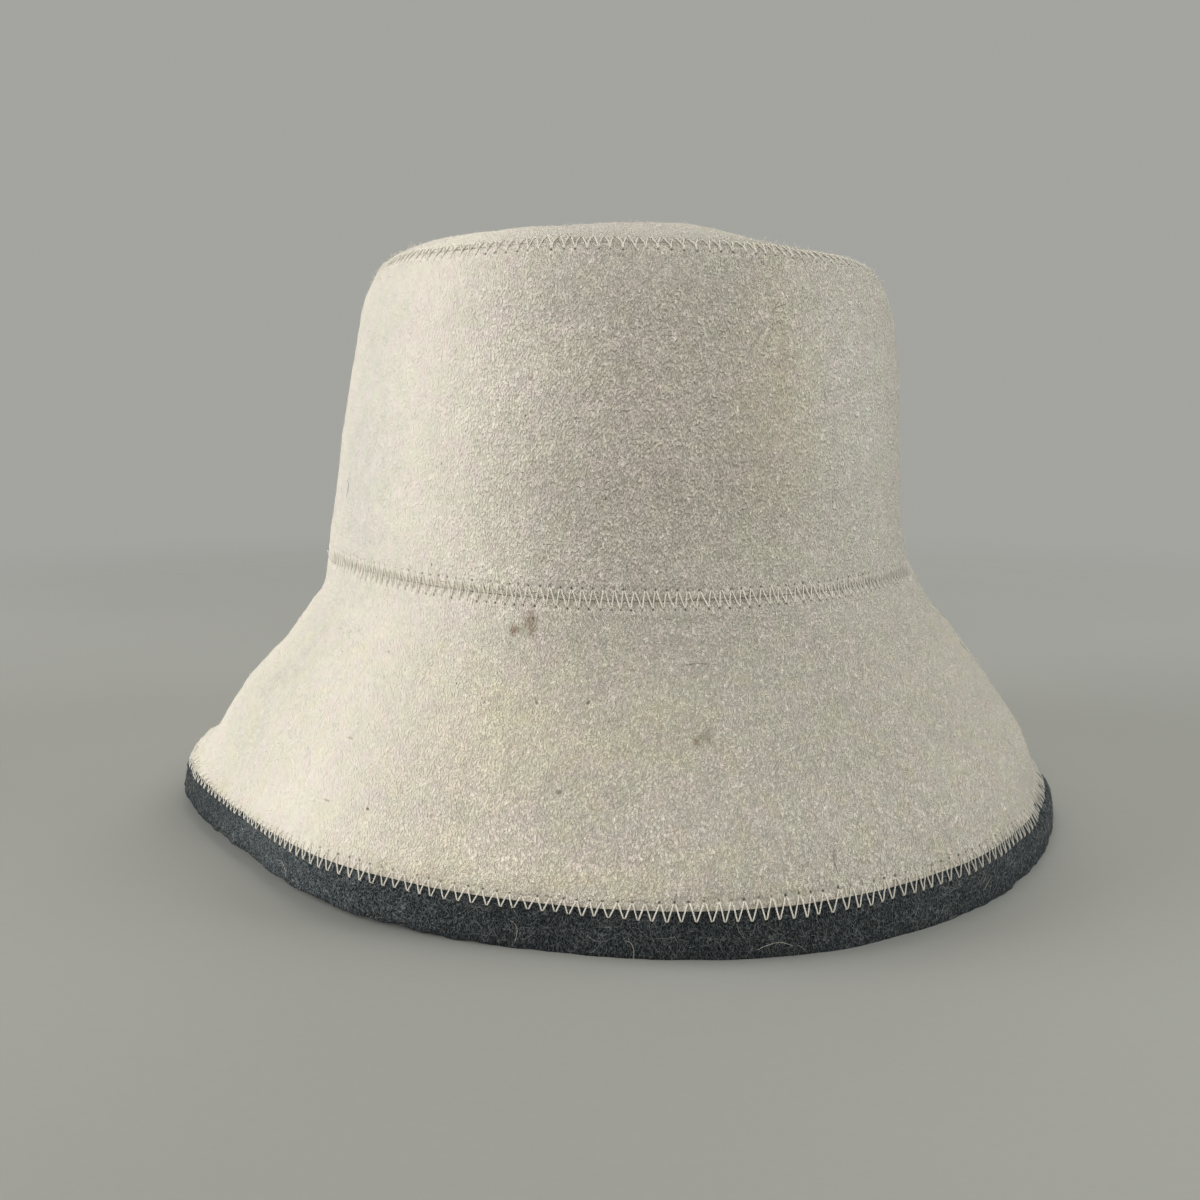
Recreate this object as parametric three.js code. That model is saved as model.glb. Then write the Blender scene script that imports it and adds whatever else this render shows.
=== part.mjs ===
// Sauna hat sewn from pressed wool felt: a bucket-shaped hat of four felt
// pieces, butted edge to edge and joined by zigzag stitching.
//   crown_top   domed oval disc that closes the crown
//   crown_side  tapered band round the head
//   brim        flared skirt under the crown
//   edge_band   charcoal strip that ends the brim
// Millimetres, +Z up. +X is the wearer's left as the front is looked at (the
// right-hand side from in front), -Y is the front. The hat stands on its hem
// at z = 0, and the origin is the middle of its footprint.
//
// Any place on the hat is named by two numbers. `along` is the distance walked
// on the outer felt from the middle of the crown down to the hem. `bearing` is
// the direction from the middle, 0 = +X, 90 = back, 180 = -X, 270 = front.

import * as THREE from 'three';
import { LoftGeometry } from 'three/addons/geometries/LoftGeometry.js';
import { mergeVertices } from 'three/addons/utils/BufferGeometryUtils.js';

// ---------------------------------------------------------------- sizes, mm
const FELT = 3.0;          // thickness of the felt
const SEAM_GAP = 0.3;      // room between two felt edges that are butted
const AROUND = 60;         // meridians round the hat
const FLOOR_EASE = 1.2;    // height over which the hem settles on the floor
const INNER_COARSER = 1.4; // the inner face has this much wider row spacing
const MOVE_RIGHT = 0.85;   // puts the footprint's middle on the origin
const MOVE_BACK = -0.35;

// ------------------------------------------------- the outer face, by section
// Each row is one closed ring on the outer face. height is the mean height,
// halfWidth and halfDepth its half sizes, shiftRight moves it sideways,
// tiltRight raises its right side and lowers its left, saddle raises both
// sides and lowers front and back.
const SECTIONS = [
  { name: 'crown centre', along: 0.0,   height: 174.8, halfWidth: 0.0,   halfDepth: 0.0,   shiftRight: 2.6, tiltRight: 0.0,  saddle: 0.0 },
  { name: 'dome',         along: 48.0,  height: 170.9, halfWidth: 44.5,  halfDepth: 48.4,  shiftRight: 2.1, tiltRight: -0.6, saddle: -0.7 },
  { name: 'disc rim',     along: 73.0,  height: 165.6, halfWidth: 68.3,  halfDepth: 73.8,  shiftRight: 1.7, tiltRight: -1.8, saddle: 0.1 },
  { name: 'top corner',   along: 83.5,  height: 161.9, halfWidth: 76.7,  halfDepth: 83.4,  shiftRight: 3.2, tiltRight: -0.7, saddle: 0.0 },
  { name: 'shoulder',     along: 91.0,  height: 155.5, halfWidth: 80.4,  halfDepth: 87.7,  shiftRight: 3.6, tiltRight: -0.8, saddle: 0.2 },
  { name: 'crown high',   along: 110.0, height: 137.5, halfWidth: 84.8,  halfDepth: 91.9,  shiftRight: 3.7, tiltRight: -1.0, saddle: 0.4 },
  { name: 'crown middle', along: 134.0, height: 114.1, halfWidth: 87.6,  halfDepth: 95.5,  shiftRight: 2.3, tiltRight: -1.4, saddle: 0.7 },
  { name: 'crown low',    along: 158.0, height: 90.7,  halfWidth: 90.1,  halfDepth: 98.3,  shiftRight: 1.3, tiltRight: -1.7, saddle: 1.1 },
  { name: 'middle seam',  along: 175.0, height: 74.6,  halfWidth: 92.7,  halfDepth: 101.0, shiftRight: 1.5, tiltRight: -1.8, saddle: 1.3 },
  { name: 'under seam',   along: 185.0, height: 65.3,  halfWidth: 95.4,  halfDepth: 104.9, shiftRight: 2.9, tiltRight: -0.8, saddle: 1.2 },
  { name: 'bend',         along: 197.0, height: 56.3,  halfWidth: 101.4, halfDepth: 111.5, shiftRight: 3.2, tiltRight: -0.3, saddle: 1.1 },
  { name: 'brim high',    along: 211.0, height: 45.5,  halfWidth: 109.1, halfDepth: 120.4, shiftRight: 3.6, tiltRight: 0.3,  saddle: 0.8 },
  { name: 'brim middle',  along: 227.0, height: 33.6,  halfWidth: 118.7, halfDepth: 130.9, shiftRight: 2.5, tiltRight: 0.5,  saddle: 0.5 },
  { name: 'brim low',     along: 242.0, height: 21.8,  halfWidth: 126.5, halfDepth: 140.4, shiftRight: 2.4, tiltRight: 0.9,  saddle: 0.2 },
  { name: 'brim edge',    along: 254.0, height: 13.0,  halfWidth: 132.6, halfDepth: 146.6, shiftRight: 1.5, tiltRight: 0.2,  saddle: 0.4 },
  { name: 'hem',          along: 265.5, height: 1.3,   halfWidth: 135.3, halfDepth: 145.8, shiftRight: 1.3, tiltRight: -1.0, saddle: 1.0 },
];

// Slow waves that grow down the brim. lobes counts the swells round the hat,
// out is how far they push out at outBearing, up how far they lift at upBearing.
const WAVES = [
  { lobes: 2, out: 1.8, outBearing: 151, up: 1.1, upBearing: 35 },
  { lobes: 3, out: 1.4, outBearing: 63,  up: 0.1, upBearing: 85 },
  { lobes: 4, out: 0.3, outBearing: 9,   up: 0.6, upBearing: 39 },
];
const WAVE_GROWTH = [ // share of the waves that shows at each place
  { along: 0, share: 0 }, { along: 185, share: 0 }, { along: 254, share: 1 }, { along: 266, share: 1.05 },
];

// Dents and swells, each round about one place. spread is in degrees, reach in
// mm along the felt, out is positive for a swell and negative for a dent.
const FOLDS = [
  { name: 'dome dip right of front',   bearing: 318, spread: 13, along: 62,  reach: 14, out: -0.6 },
  { name: 'dome dip at front',         bearing: 262, spread: 16, along: 56,  reach: 16, out: -0.3 },
  { name: 'dome dip left',             bearing: 228, spread: 16, along: 62,  reach: 14, out: -0.4 },
  { name: 'dome swell at front right', bearing: 292, spread: 14, along: 54,  reach: 16, out: 0.7 },
  { name: 'seam sag left of front',    bearing: 238, spread: 13, along: 177, reach: 14, out: -0.4 },
  { name: 'seam lift right of front',  bearing: 296, spread: 16, along: 177, reach: 12, out: 2.1 },
  { name: 'swell under left bend',     bearing: 196, spread: 28, along: 216, reach: 15, out: 1.3 },
  { name: 'swell over seam at right',  bearing: 350, spread: 20, along: 179, reach: 7,  out: 0.9 },
  { name: 'left hem turned in',        bearing: 206, spread: 14, along: 262, reach: 7,  out: -1.3 },
  { name: 'left corner of brim',       bearing: 192, spread: 20, along: 256, reach: 34, out: 2.5 },
  { name: 'flat beside left corner',   bearing: 216, spread: 15, along: 256, reach: 26, out: -4.4 },
  { name: 'brim swell front left',     bearing: 238, spread: 12, along: 252, reach: 22, out: 1.6 },
  { name: 'brim dip at front',         bearing: 262, spread: 14, along: 250, reach: 22, out: -3.1 },
  { name: 'brim swell right of front', bearing: 290, spread: 15, along: 250, reach: 22, out: 1.8 },
  { name: 'brim swell front right',    bearing: 314, spread: 14, along: 252, reach: 24, out: 1.0 },
  { name: 'right corner of brim',      bearing: 340, spread: 18, along: 256, reach: 34, out: 0.3 },
  { name: 'left edge drawn in',        bearing: 183, spread: 38, along: 247.5, reach: 5.8, out: -1.5 },
  { name: 'right edge drawn in',       bearing: 340, spread: 26, along: 251, reach: 6, out: -2.9 },
  { name: 'right hem flared out',      bearing: 343, spread: 9,  along: 262, reach: 7, out: 1.4 },
];

// Where the felt sits lower than its rings say, in mm down.
const SLIPS = [
  { name: 'middle seam sits lower at right', bearing: 352, spread: 16, along: 175, reach: 14, down: 1.9 },
];

// Seams. The thread squeezes the felt on both faces by `squeeze` at the seam.
const SEAMS = [
  { name: 'crown seam',  along: 83.5,  squeeze: 0.25, reach: 2.6 },
  { name: 'middle seam', along: 175.0, squeeze: 0.45, reach: 3.0 },
  { name: 'edge seam',   along: 254.0, squeeze: 0.15, reach: 2.4 },
];

// The felt pieces, from the middle of the crown down to the hem.
const PIECES = [
  { name: 'crown_top',  from: 0,    to: 83.5,  disc: true,  color: 0xd9d2c1, roughness: 0.96 },
  { name: 'crown_side', from: 83.5, to: 175.0, disc: false, color: 0xd6cfbe, roughness: 0.96 },
  { name: 'brim',       from: 175,  to: 254.0, disc: false, color: 0xddd6c4, roughness: 0.96 },
  { name: 'edge_band',  from: 254,  to: 265.5, disc: false, color: 0x33393b, roughness: 0.95 },
];

// Row spacing along the felt: fine where the felt bends, wide where it is plain.
const ROW_STEPS = [
  { upTo: 66, step: 12 }, { upTo: 98, step: 3.6 }, { upTo: 168, step: 13 },
  { upTo: 204, step: 4.2 }, { upTo: 240, step: 8.5 }, { upTo: 270, step: 4.2 },
];

// ------------------------------------------------------------------ surface
const COLUMNS = ['height', 'halfWidth', 'halfDepth', 'shiftRight', 'tiltRight', 'saddle'];
const RAD = Math.PI / 180;

// Slope of every column at every section, so that the rings join smoothly.
const SLOPES = SECTIONS.map((row, i) => {
  const slope = {};
  for (const column of COLUMNS) {
    const before = SECTIONS[i - 1], after = SECTIONS[i + 1];
    const rise = (a, b) => (b[column] - a[column]) / (b.along - a.along);
    if (!before) slope[column] = column === 'height' ? 0 : rise(row, after);
    else if (!after) slope[column] = rise(before, row);
    else {
      const h0 = row.along - before.along, h1 = after.along - row.along;
      slope[column] = (rise(before, row) * h1 + rise(row, after) * h0) / (h0 + h1);
    }
  }
  return slope;
});

function ringAt(along) {
  let k = SECTIONS.findIndex((row) => row.along > along) - 1;
  if (k < 0) k = SECTIONS.length - 2;
  const a = SECTIONS[k], b = SECTIONS[k + 1], run = b.along - a.along, u = (along - a.along) / run;
  const ring = {};
  for (const column of COLUMNS) {
    ring[column] = (2 * u ** 3 - 3 * u ** 2 + 1) * a[column] + (u ** 3 - 2 * u ** 2 + u) * run * SLOPES[k][column]
      + (3 * u ** 2 - 2 * u ** 3) * b[column] + (u ** 3 - u ** 2) * run * SLOPES[k + 1][column];
  }
  return ring;
}

function waveShare(along) {
  const k = Math.max(1, WAVE_GROWTH.findIndex((row) => row.along >= along));
  const a = WAVE_GROWTH[k - 1], b = WAVE_GROWTH[k];
  return a.share + (b.share - a.share) * (along - a.along) / (b.along - a.along);
}

// The outer face before its dents.
function plainPoint(along, bearing) {
  const ring = ringAt(along), t = bearing * RAD, share = waveShare(along);
  let out = 0, up = 0;
  for (const wave of WAVES) {
    out += share * wave.out * Math.cos(wave.lobes * (bearing - wave.outBearing) * RAD);
    up += share * wave.up * Math.cos(wave.lobes * (bearing - wave.upBearing) * RAD);
  }
  for (const slip of SLIPS) {
    const turn = ((bearing - slip.bearing + 540) % 360) - 180;
    up -= slip.down * Math.exp(-((turn / slip.spread) ** 2) - ((along - slip.along) / slip.reach) ** 2);
  }
  return new THREE.Vector3(
    ring.shiftRight + (ring.halfWidth + out) * Math.cos(t),
    (ring.halfDepth + out) * Math.sin(t),
    ring.height + ring.tiltRight * Math.cos(t) + ring.saddle * Math.cos(2 * t) + up);
}

function outwardNormal(along, bearing) {
  if (along === 0) return new THREE.Vector3(0, 0, 1);
  const down = plainPoint(along + 0.4, bearing).sub(plainPoint(Math.max(along - 0.4, 0.5), bearing));
  const round = plainPoint(along, bearing + 0.25).sub(plainPoint(along, bearing - 0.25));
  return down.cross(round).normalize();
}

function foldOut(along, bearing) {
  if (along === 0) return 0;
  let out = 0;
  for (const fold of FOLDS) {
    const turn = ((bearing - fold.bearing + 540) % 360) - 180;
    out += fold.out * Math.exp(-((turn / fold.spread) ** 2) - ((along - fold.along) / fold.reach) ** 2);
  }
  return out;
}

function squeezeAt(along) {
  return SEAMS.reduce((sum, seam) => sum + seam.squeeze * Math.exp(-(((along - seam.along) / seam.reach) ** 2)), 0);
}

// Felt that would reach below the floor lies flat on it instead.
function settle(z) {
  if (z <= 0) return 0;
  const u = z / FLOOR_EASE;
  return u >= 1 ? z : FLOOR_EASE * (2 * u ** 2 - u ** 3);
}

// A point in the felt: inside = 0 on the outer face, 1 on the inner face.
function feltPoint(along, bearing, inside) {
  const squeeze = squeezeAt(along);
  const depth = inside ? FELT - squeeze : squeeze;
  const point = plainPoint(along, bearing).addScaledVector(outwardNormal(along, bearing), foldOut(along, bearing) - depth);
  point.z = settle(point.z);
  point.x += MOVE_RIGHT;
  point.y += MOVE_BACK;
  return point;
}

// ------------------------------------------------------------------- pieces
function rowsBetween(from, to, coarser) {
  const rows = [from];
  for (let along = from; ;) {
    along += ROW_STEPS.find((zone) => zone.upTo > along).step * coarser;
    if (along > to - 1.5) break;
    rows.push(along);
  }
  rows.push(to);
  return rows;
}

function ring(along, inside) {
  return Array.from({ length: AROUND }, (_, i) => feltPoint(along, 360 * (AROUND - i) / AROUND, inside));
}

// Joins the loft's doubled points and drops the slivers that close on a point.
function closedUp(loft) {
  const bare = new THREE.BufferGeometry();
  bare.setAttribute('position', loft.getAttribute('position'));
  bare.setIndex(loft.index);
  const skin = mergeVertices(bare, 1e-4), corner = skin.index.array, kept = [];
  for (let i = 0; i < corner.length; i += 3) {
    const [a, b, c] = [corner[i], corner[i + 1], corner[i + 2]];
    if (a !== b && b !== c && c !== a) kept.push(a, b, c);
  }
  skin.setIndex(kept);
  skin.computeVertexNormals();
  return skin;
}

function feltPiece({ name, from, to, disc, color, roughness }) {
  // The disc starts at the crown's middle, where its rings shrink to one point.
  const start = disc ? from : from + SEAM_GAP / 2;
  const end = name === 'edge_band' ? to : to - SEAM_GAP / 2;
  const outer = rowsBetween(start, end, 1).map((along) => ring(along, 0));
  const inner = rowsBetween(start, end, INNER_COARSER).map((along) => ring(along, 1)).reverse();
  const rings = [...outer, ...inner];
  if (!disc) rings.push(outer[0].map((point) => point.clone()));
  const mesh = new THREE.Mesh(
    closedUp(new LoftGeometry(rings, { closed: true })),
    new THREE.MeshStandardMaterial({ color, roughness, metalness: 0 }));
  mesh.name = name;
  return mesh;
}

const saunaHat = new THREE.Group();
for (const piece of PIECES) saunaHat.add(feltPiece(piece));

export default saunaHat;
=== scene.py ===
import math
import bpy
import numpy as np
from mathutils import Matrix, Vector


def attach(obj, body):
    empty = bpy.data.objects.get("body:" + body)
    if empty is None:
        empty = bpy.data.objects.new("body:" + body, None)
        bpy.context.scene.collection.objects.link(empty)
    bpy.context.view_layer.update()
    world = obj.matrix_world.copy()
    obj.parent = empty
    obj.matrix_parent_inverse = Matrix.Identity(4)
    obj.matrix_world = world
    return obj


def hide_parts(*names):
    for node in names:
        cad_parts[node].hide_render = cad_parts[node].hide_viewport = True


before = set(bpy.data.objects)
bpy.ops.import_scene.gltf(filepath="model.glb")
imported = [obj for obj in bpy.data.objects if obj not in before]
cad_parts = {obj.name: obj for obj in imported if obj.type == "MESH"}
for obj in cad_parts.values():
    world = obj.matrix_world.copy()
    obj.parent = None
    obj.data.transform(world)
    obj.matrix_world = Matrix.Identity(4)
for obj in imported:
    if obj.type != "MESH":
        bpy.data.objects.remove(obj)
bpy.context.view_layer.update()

MM = 0.001

# ---------------------------------------------------------------- camera
# Set up first. The hat's own frame:
# First, because everything else is judged from it. -Y front, +X right, Z
# up, origin in the middle of the footprint.
MOVE = np.array([0.85, -0.35, 0.0])           # mm, as in part.mjs
CAMERA_BACK, CAMERA_UP = 394.3, 118.6         # mm from the hat's axis, above the floor
PITCH, YAW = math.radians(8.73), math.radians(0.67)

cam_data = bpy.data.cameras.new("camera")
cam_data.sensor_width = 36.0
cam_data.lens = 36.0
cam_data.clip_start, cam_data.clip_end = 0.01, 20.0
cam_data.dof.use_dof = False
camera = bpy.data.objects.new("camera", cam_data)
bpy.context.scene.collection.objects.link(camera)
forward = Vector((-math.sin(YAW) * math.cos(PITCH), math.cos(YAW) * math.cos(PITCH), -math.sin(PITCH)))
camera.location = (MOVE[0] * MM, (MOVE[1] - CAMERA_BACK) * MM, CAMERA_UP * MM)
camera.rotation_mode = "QUATERNION"
camera.rotation_quaternion = forward.to_track_quat("-Z", "Y")
bpy.context.scene.camera = camera

# ---------------------------------------------------------------- the shape, as in part.mjs
FELT = 3.0
FLOOR_EASE = 1.2
SECTION_COLUMNS = ("along", "height", "half_width", "half_depth", "shift_right", "tilt_right", "saddle")
SECTIONS = np.array([
    (0.0, 174.8, 0.0, 0.0, 2.6, 0.0, 0.0),            # crown centre
    (48.0, 170.9, 44.5, 48.4, 2.1, -0.6, -0.7),       # dome
    (73.0, 165.6, 68.3, 73.8, 1.7, -1.8, 0.1),        # disc rim
    (83.5, 161.9, 76.7, 83.4, 3.2, -0.7, 0.0),        # top corner
    (91.0, 155.5, 80.4, 87.7, 3.6, -0.8, 0.2),        # shoulder
    (110.0, 137.5, 84.8, 91.9, 3.7, -1.0, 0.4),       # crown high
    (134.0, 114.1, 87.6, 95.5, 2.3, -1.4, 0.7),       # crown middle
    (158.0, 90.7, 90.1, 98.3, 1.3, -1.7, 1.1),        # crown low
    (175.0, 74.6, 92.7, 101.0, 1.5, -1.8, 1.3),       # middle seam
    (185.0, 65.3, 95.4, 104.9, 2.9, -0.8, 1.2),       # under seam
    (197.0, 56.3, 101.4, 111.5, 3.2, -0.3, 1.1),      # bend
    (211.0, 45.5, 109.1, 120.4, 3.6, 0.3, 0.8),       # brim high
    (227.0, 33.6, 118.7, 130.9, 2.5, 0.5, 0.5),       # brim middle
    (242.0, 21.8, 126.5, 140.4, 2.4, 0.9, 0.2),       # brim low
    (254.0, 13.0, 132.6, 146.6, 1.5, 0.2, 0.4),       # brim edge
    (265.5, 1.3, 135.3, 145.8, 1.3, -1.0, 1.0),       # hem
])
# lobes, out, out bearing, up, up bearing
WAVES = ((2, 1.8, 151, 1.1, 35), (3, 1.4, 63, 0.1, 85), (4, 0.3, 9, 0.6, 39))
WAVE_GROWTH = ((0, 185, 254, 266), (0, 0, 1, 1.05))
# name, bearing, spread, along, reach, out
FOLDS = (
    ("dome dip right of front", 318, 13, 62, 14, -0.6),
    ("dome dip at front", 262, 16, 56, 16, -0.3),
    ("dome dip left", 228, 16, 62, 14, -0.4),
    ("dome swell at front right", 292, 14, 54, 16, 0.7),
    ("seam sag left of front", 238, 13, 177, 14, -0.4),
    ("seam lift right of front", 296, 16, 177, 12, 2.1),
    ("swell under left bend", 196, 28, 216, 15, 1.3),
    ("swell over seam at right", 350, 20, 179, 7, 0.9),
    ("left hem turned in", 206, 14, 262, 7, -1.3),
    ("left corner of brim", 192, 20, 256, 34, 2.5),
    ("flat beside left corner", 216, 15, 256, 26, -4.4),
    ("brim swell front left", 238, 12, 252, 22, 1.6),
    ("brim dip at front", 262, 14, 250, 22, -3.1),
    ("brim swell right of front", 290, 15, 250, 22, 1.8),
    ("brim swell front right", 314, 14, 252, 24, 1.0),
    ("right corner of brim", 340, 18, 256, 34, 0.3),
    ("left edge drawn in", 183, 38, 247.5, 5.8, -1.5),
    ("right edge drawn in", 340, 26, 251, 6, -2.9),
    ("right hem flared out", 343, 9, 262, 7, 1.4),
)
# name, bearing, spread, along, reach, down: where the felt sits lower
SLIPS = (
    ("middle seam sits lower at right", 352, 16, 175, 14, 1.9),
)
# along, squeeze and reach as in part.mjs; zigzags round the hat; how far the needle
# holes lie above and below the joint; how the felt puffs between them and dips at the joint
SEAMS = {
    "crown": dict(along=83.5, squeeze=0.25, reach=2.6, count=162, up=2.6, low=2.5, puff=0.10, dip=0.05, dip_at=0.0, dip_reach=1.0),
    "middle": dict(along=175.0, squeeze=0.45, reach=3.0, count=226, up=2.85, low=2.35, puff=0.20, dip=0.34, dip_at=0.35, dip_reach=1.05),
    "edge": dict(along=254.0, squeeze=0.15, reach=2.4, count=276, up=2.35, low=2.80, puff=0.10, dip=0.0, dip_at=0.3, dip_reach=1.0),
}

_al = SECTIONS[:, 0]
_run = np.diff(_al)
_rise = np.diff(SECTIONS, axis=0) / _run[:, None]
_slope = np.zeros_like(SECTIONS)
_slope[1:-1] = (_rise[:-1] * _run[1:, None] + _rise[1:] * _run[:-1, None]) / (_run[:-1] + _run[1:])[:, None]
_slope[0], _slope[-1] = _rise[0], _rise[-1]
_slope[0, 1] = 0.0


def columns(t):
    k = np.clip(np.searchsorted(_al, t, side="right") - 1, 0, len(_al) - 2)
    h = _run[k][..., None]
    u = ((t - _al[k]) / _run[k])[..., None]
    return ((2 * u**3 - 3 * u**2 + 1) * SECTIONS[k] + (u**3 - 2 * u**2 + u) * h * _slope[k]
            + (3 * u**2 - 2 * u**3) * SECTIONS[k + 1] + (u**3 - u**2) * h * _slope[k + 1])


def plain(t, th):
    c = columns(t)
    share = np.interp(t, *WAVE_GROWTH)
    out = up = 0.0
    for n, o, ob, u, ub in WAVES:
        out = out + share * o * np.cos(n * (th - math.radians(ob)))
        up = up + share * u * np.cos(n * (th - math.radians(ub)))
    x = c[..., 4] + (c[..., 2] + out) * np.cos(th)
    y = (c[..., 3] + out) * np.sin(th)
    z = c[..., 1] + c[..., 5] * np.cos(th) + c[..., 6] * np.cos(2 * th) + up
    for _, b, sp, al, reach, o in SLIPS:
        d = (np.degrees(th) - b + 180) % 360 - 180
        z = z - o * np.exp(-((d / sp) ** 2) - ((t - al) / reach) ** 2)
    return np.stack([x, y, z], -1)


def normals(t, th):
    lo = np.maximum(t - 0.4, 0.3)
    down = plain(np.maximum(t, 0.3) + 0.4, th) - plain(lo, th)
    around = plain(np.maximum(t, 0.3), th + 0.005) - plain(np.maximum(t, 0.3), th - 0.005)
    n = np.cross(down, around)
    return n / (np.linalg.norm(n, axis=-1, keepdims=True) + 1e-12)


def folds(t, th):
    out = np.zeros(np.broadcast(t, th).shape)
    deg = np.degrees(th)
    for _, b, sp, al, reach, o in FOLDS:
        d = (deg - b + 180) % 360 - 180
        out += o * np.exp(-((d / sp) ** 2) - ((t - al) / reach) ** 2)
    return out


def squeeze(t):
    return sum(s["squeeze"] * np.exp(-(((t - s["along"]) / s["reach"]) ** 2)) for s in SEAMS.values())


def settle(z):
    u = np.clip(z / FLOOR_EASE, 0, 1)
    return np.where(z >= FLOOR_EASE, z, FLOOR_EASE * (2 * u**2 - u**3))


def skin(t, th, lift=0.0, n=None):
    """Point lift mm outside the outer face (negative goes into the felt)."""
    if n is None:
        n = normals(t, th)
    p = plain(t, th) + n * (folds(t, th) + lift)[..., None]
    p[..., 2] = settle(p[..., 2])
    return p + MOVE


# ---------------------------------------------------------------- places round the hat
# A place round a seam is a share f of its length, 0 and 1 at the closing seam
# at the back. Every seam ring has its own table from f to bearing.
_TH = np.radians(np.linspace(90.0, 450.0, 4001))


def _ring_table(along):
    p = skin(np.full(_TH.shape, along), _TH)
    s = np.concatenate([[0], np.cumsum(np.linalg.norm(np.diff(p, axis=0), axis=1))])
    return s / s[-1], s[-1]


RINGS = {k: _ring_table(s["along"]) for k, s in SEAMS.items()}


def bearing_at(f, t):
    """Bearing (radians) of share f at height t, blended between the seam rings."""
    th = {k: np.interp(f % 1.0, RINGS[k][0], _TH) for k in RINGS}
    w1 = np.clip((t - 83.5) / (175.0 - 83.5), 0, 1)
    w2 = np.clip((t - 175.0) / (254.0 - 175.0), 0, 1)
    a = th["crown"] * (1 - w1) + th["middle"] * w1
    return a * (1 - w2) + th["edge"] * w2


def share_at(th, t):
    """Inverse of bearing_at, near enough for placing things."""
    th = (th - math.radians(90)) % (2 * math.pi) + math.radians(90)
    f = {k: np.interp(th, _TH, RINGS[k][0]) for k in RINGS}
    w1 = np.clip((t - 83.5) / (175.0 - 83.5), 0, 1)
    w2 = np.clip((t - 175.0) / (254.0 - 175.0), 0, 1)
    a = f["crown"] * (1 - w1) + f["middle"] * w1
    return a * (1 - w2) + f["edge"] * w2


_BACK = 0.009  # columns crowd together within about this share of the closing seam
_ff = np.linspace(0, 1, 8001)


def _crowd(f):
    from_zero = np.minimum(f, 1 - f)
    return 1 + 1.8 * np.exp(-((from_zero / _BACK) ** 2))


_xx = np.concatenate([[0], np.cumsum((_crowd(_ff[1:]) + _crowd(_ff[:-1])) / 2)])
_xx /= _xx[-1]


def share_of_column(x):
    return np.interp(x, _xx, _ff)


# ---------------------------------------------------------------- small random tools
def rng(seed):
    return np.random.default_rng(seed)


def lumps(p, wavelength, seed, waves=40):
    r = rng(seed)
    d = r.normal(size=(waves, 3))
    d /= np.linalg.norm(d, axis=1, keepdims=True)
    k = d * (2 * math.pi / wavelength * r.uniform(0.65, 1.45, waves))[:, None]
    ph = r.uniform(0, 2 * math.pi, waves)
    shape = p.shape[:-1]
    q = p.reshape(-1, 3)
    out = np.zeros(len(q))
    for ki, pi in zip(k, ph):
        out += np.cos(q @ ki + pi)
    return (out / math.sqrt(waves / 2)).reshape(shape)


# ---------------------------------------------------------------- stitch holes
# Stitches are not quite even: the spacing and the two rows of holes wander smoothly.
def _wander(seed, rates, sizes):
    r = rng(seed)
    ph = r.uniform(0, 2 * math.pi, len(rates))
    return lambda f: sum(a * np.sin(2 * math.pi * w * f + p) for w, a, p in zip(rates, sizes, ph))


WANDER = {}
for _i, _key in enumerate(SEAMS):
    _n = SEAMS[_key]["count"]
    _rates = [3, 7, round(_n / 13), round(_n / 5.3), round(_n / 3.1)]
    WANDER[_key] = (
        _wander(200 + _i, _rates, (0.12, 0.10, 0.08, 0.05, 0.045)),
        _wander(210 + _i, _rates, (0.10, 0.07, 0.06, 0.06, 0.05)),
        _wander(220 + _i, _rates, (0.10, 0.07, 0.06, 0.06, 0.05)),
    )


def stitch_place(key, f, t):
    """Phase of the zigzag (whole at each upper hole, halfway at each lower one) and the
    distance below the upper and the lower row of holes, mm."""
    s = SEAMS[key]
    phase, up, low = WANDER[key]
    return s["count"] * f - 0.25 + phase(f), t - (s["along"] - s["up"] + up(f)), t - (s["along"] + s["low"] + low(f))


def seam_holes(key):
    s = SEAMS[key]
    n = s["count"]
    phase, up, low = WANDER[key]
    grid = np.linspace(-0.02, 1.02, 60001)
    value = n * grid - 0.25 + phase(grid)
    k = np.arange(n)
    up_f = np.interp(k, value, grid)
    lo_f = np.interp(k + 0.5, value, grid)
    return dict(key=key, n=n, length=RINGS[key][1], along=s["along"],
                up_f=up_f, up_t=s["along"] - s["up"] + up(up_f), lo_f=lo_f, lo_t=s["along"] + s["low"] + low(lo_f))


HOLES = {key: seam_holes(key) for key in SEAMS}


def nearest_seam(t):
    return np.where(t < 129.0, 0, np.where(t < 214.0, 1, 2))


def seam_relief(t, f, key):
    """How the thread shapes the felt beside one seam, mm."""
    s = SEAMS[key]
    phase, up, low = stitch_place(key, f, t)
    pitch = RINGS[key][1] / s["count"]
    d = t - s["along"]
    wave = np.cos(2 * math.pi * phase)                       # 1 at an upper hole, -1 at a lower one
    out = s["puff"] * (0.55 - 0.45 * wave) * np.exp(-(((up - 1.2) / 1.0) ** 2))
    out += s["puff"] * 0.7 * (0.55 + 0.45 * wave) * np.exp(-(((low + 1.1) / 0.8) ** 2))
    out -= s["dip"] * np.exp(-(((d - s["dip_at"]) / s["dip_reach"]) ** 2))
    out += 0.07 * np.exp(-(((up + 1.3) / 0.9) ** 2)) + 0.08 * np.exp(-(((low - 1.3) / 0.9) ** 2))
    if key == "edge":
        out += np.where(d < 0, 0.20, -0.26) * np.exp(-((np.abs(d) / 1.3) ** 2))
    for x, y in ((phase - np.round(phase), up), (phase - 0.5 - np.round(phase - 0.5), low)):
        out -= 0.34 * np.exp(-(((x * pitch) ** 2 + y**2) / 0.42**2))
    return out


CLOSING = dict(pitch=3.0, half=2.6)   # the upright zigzags at the back, mm


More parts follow.
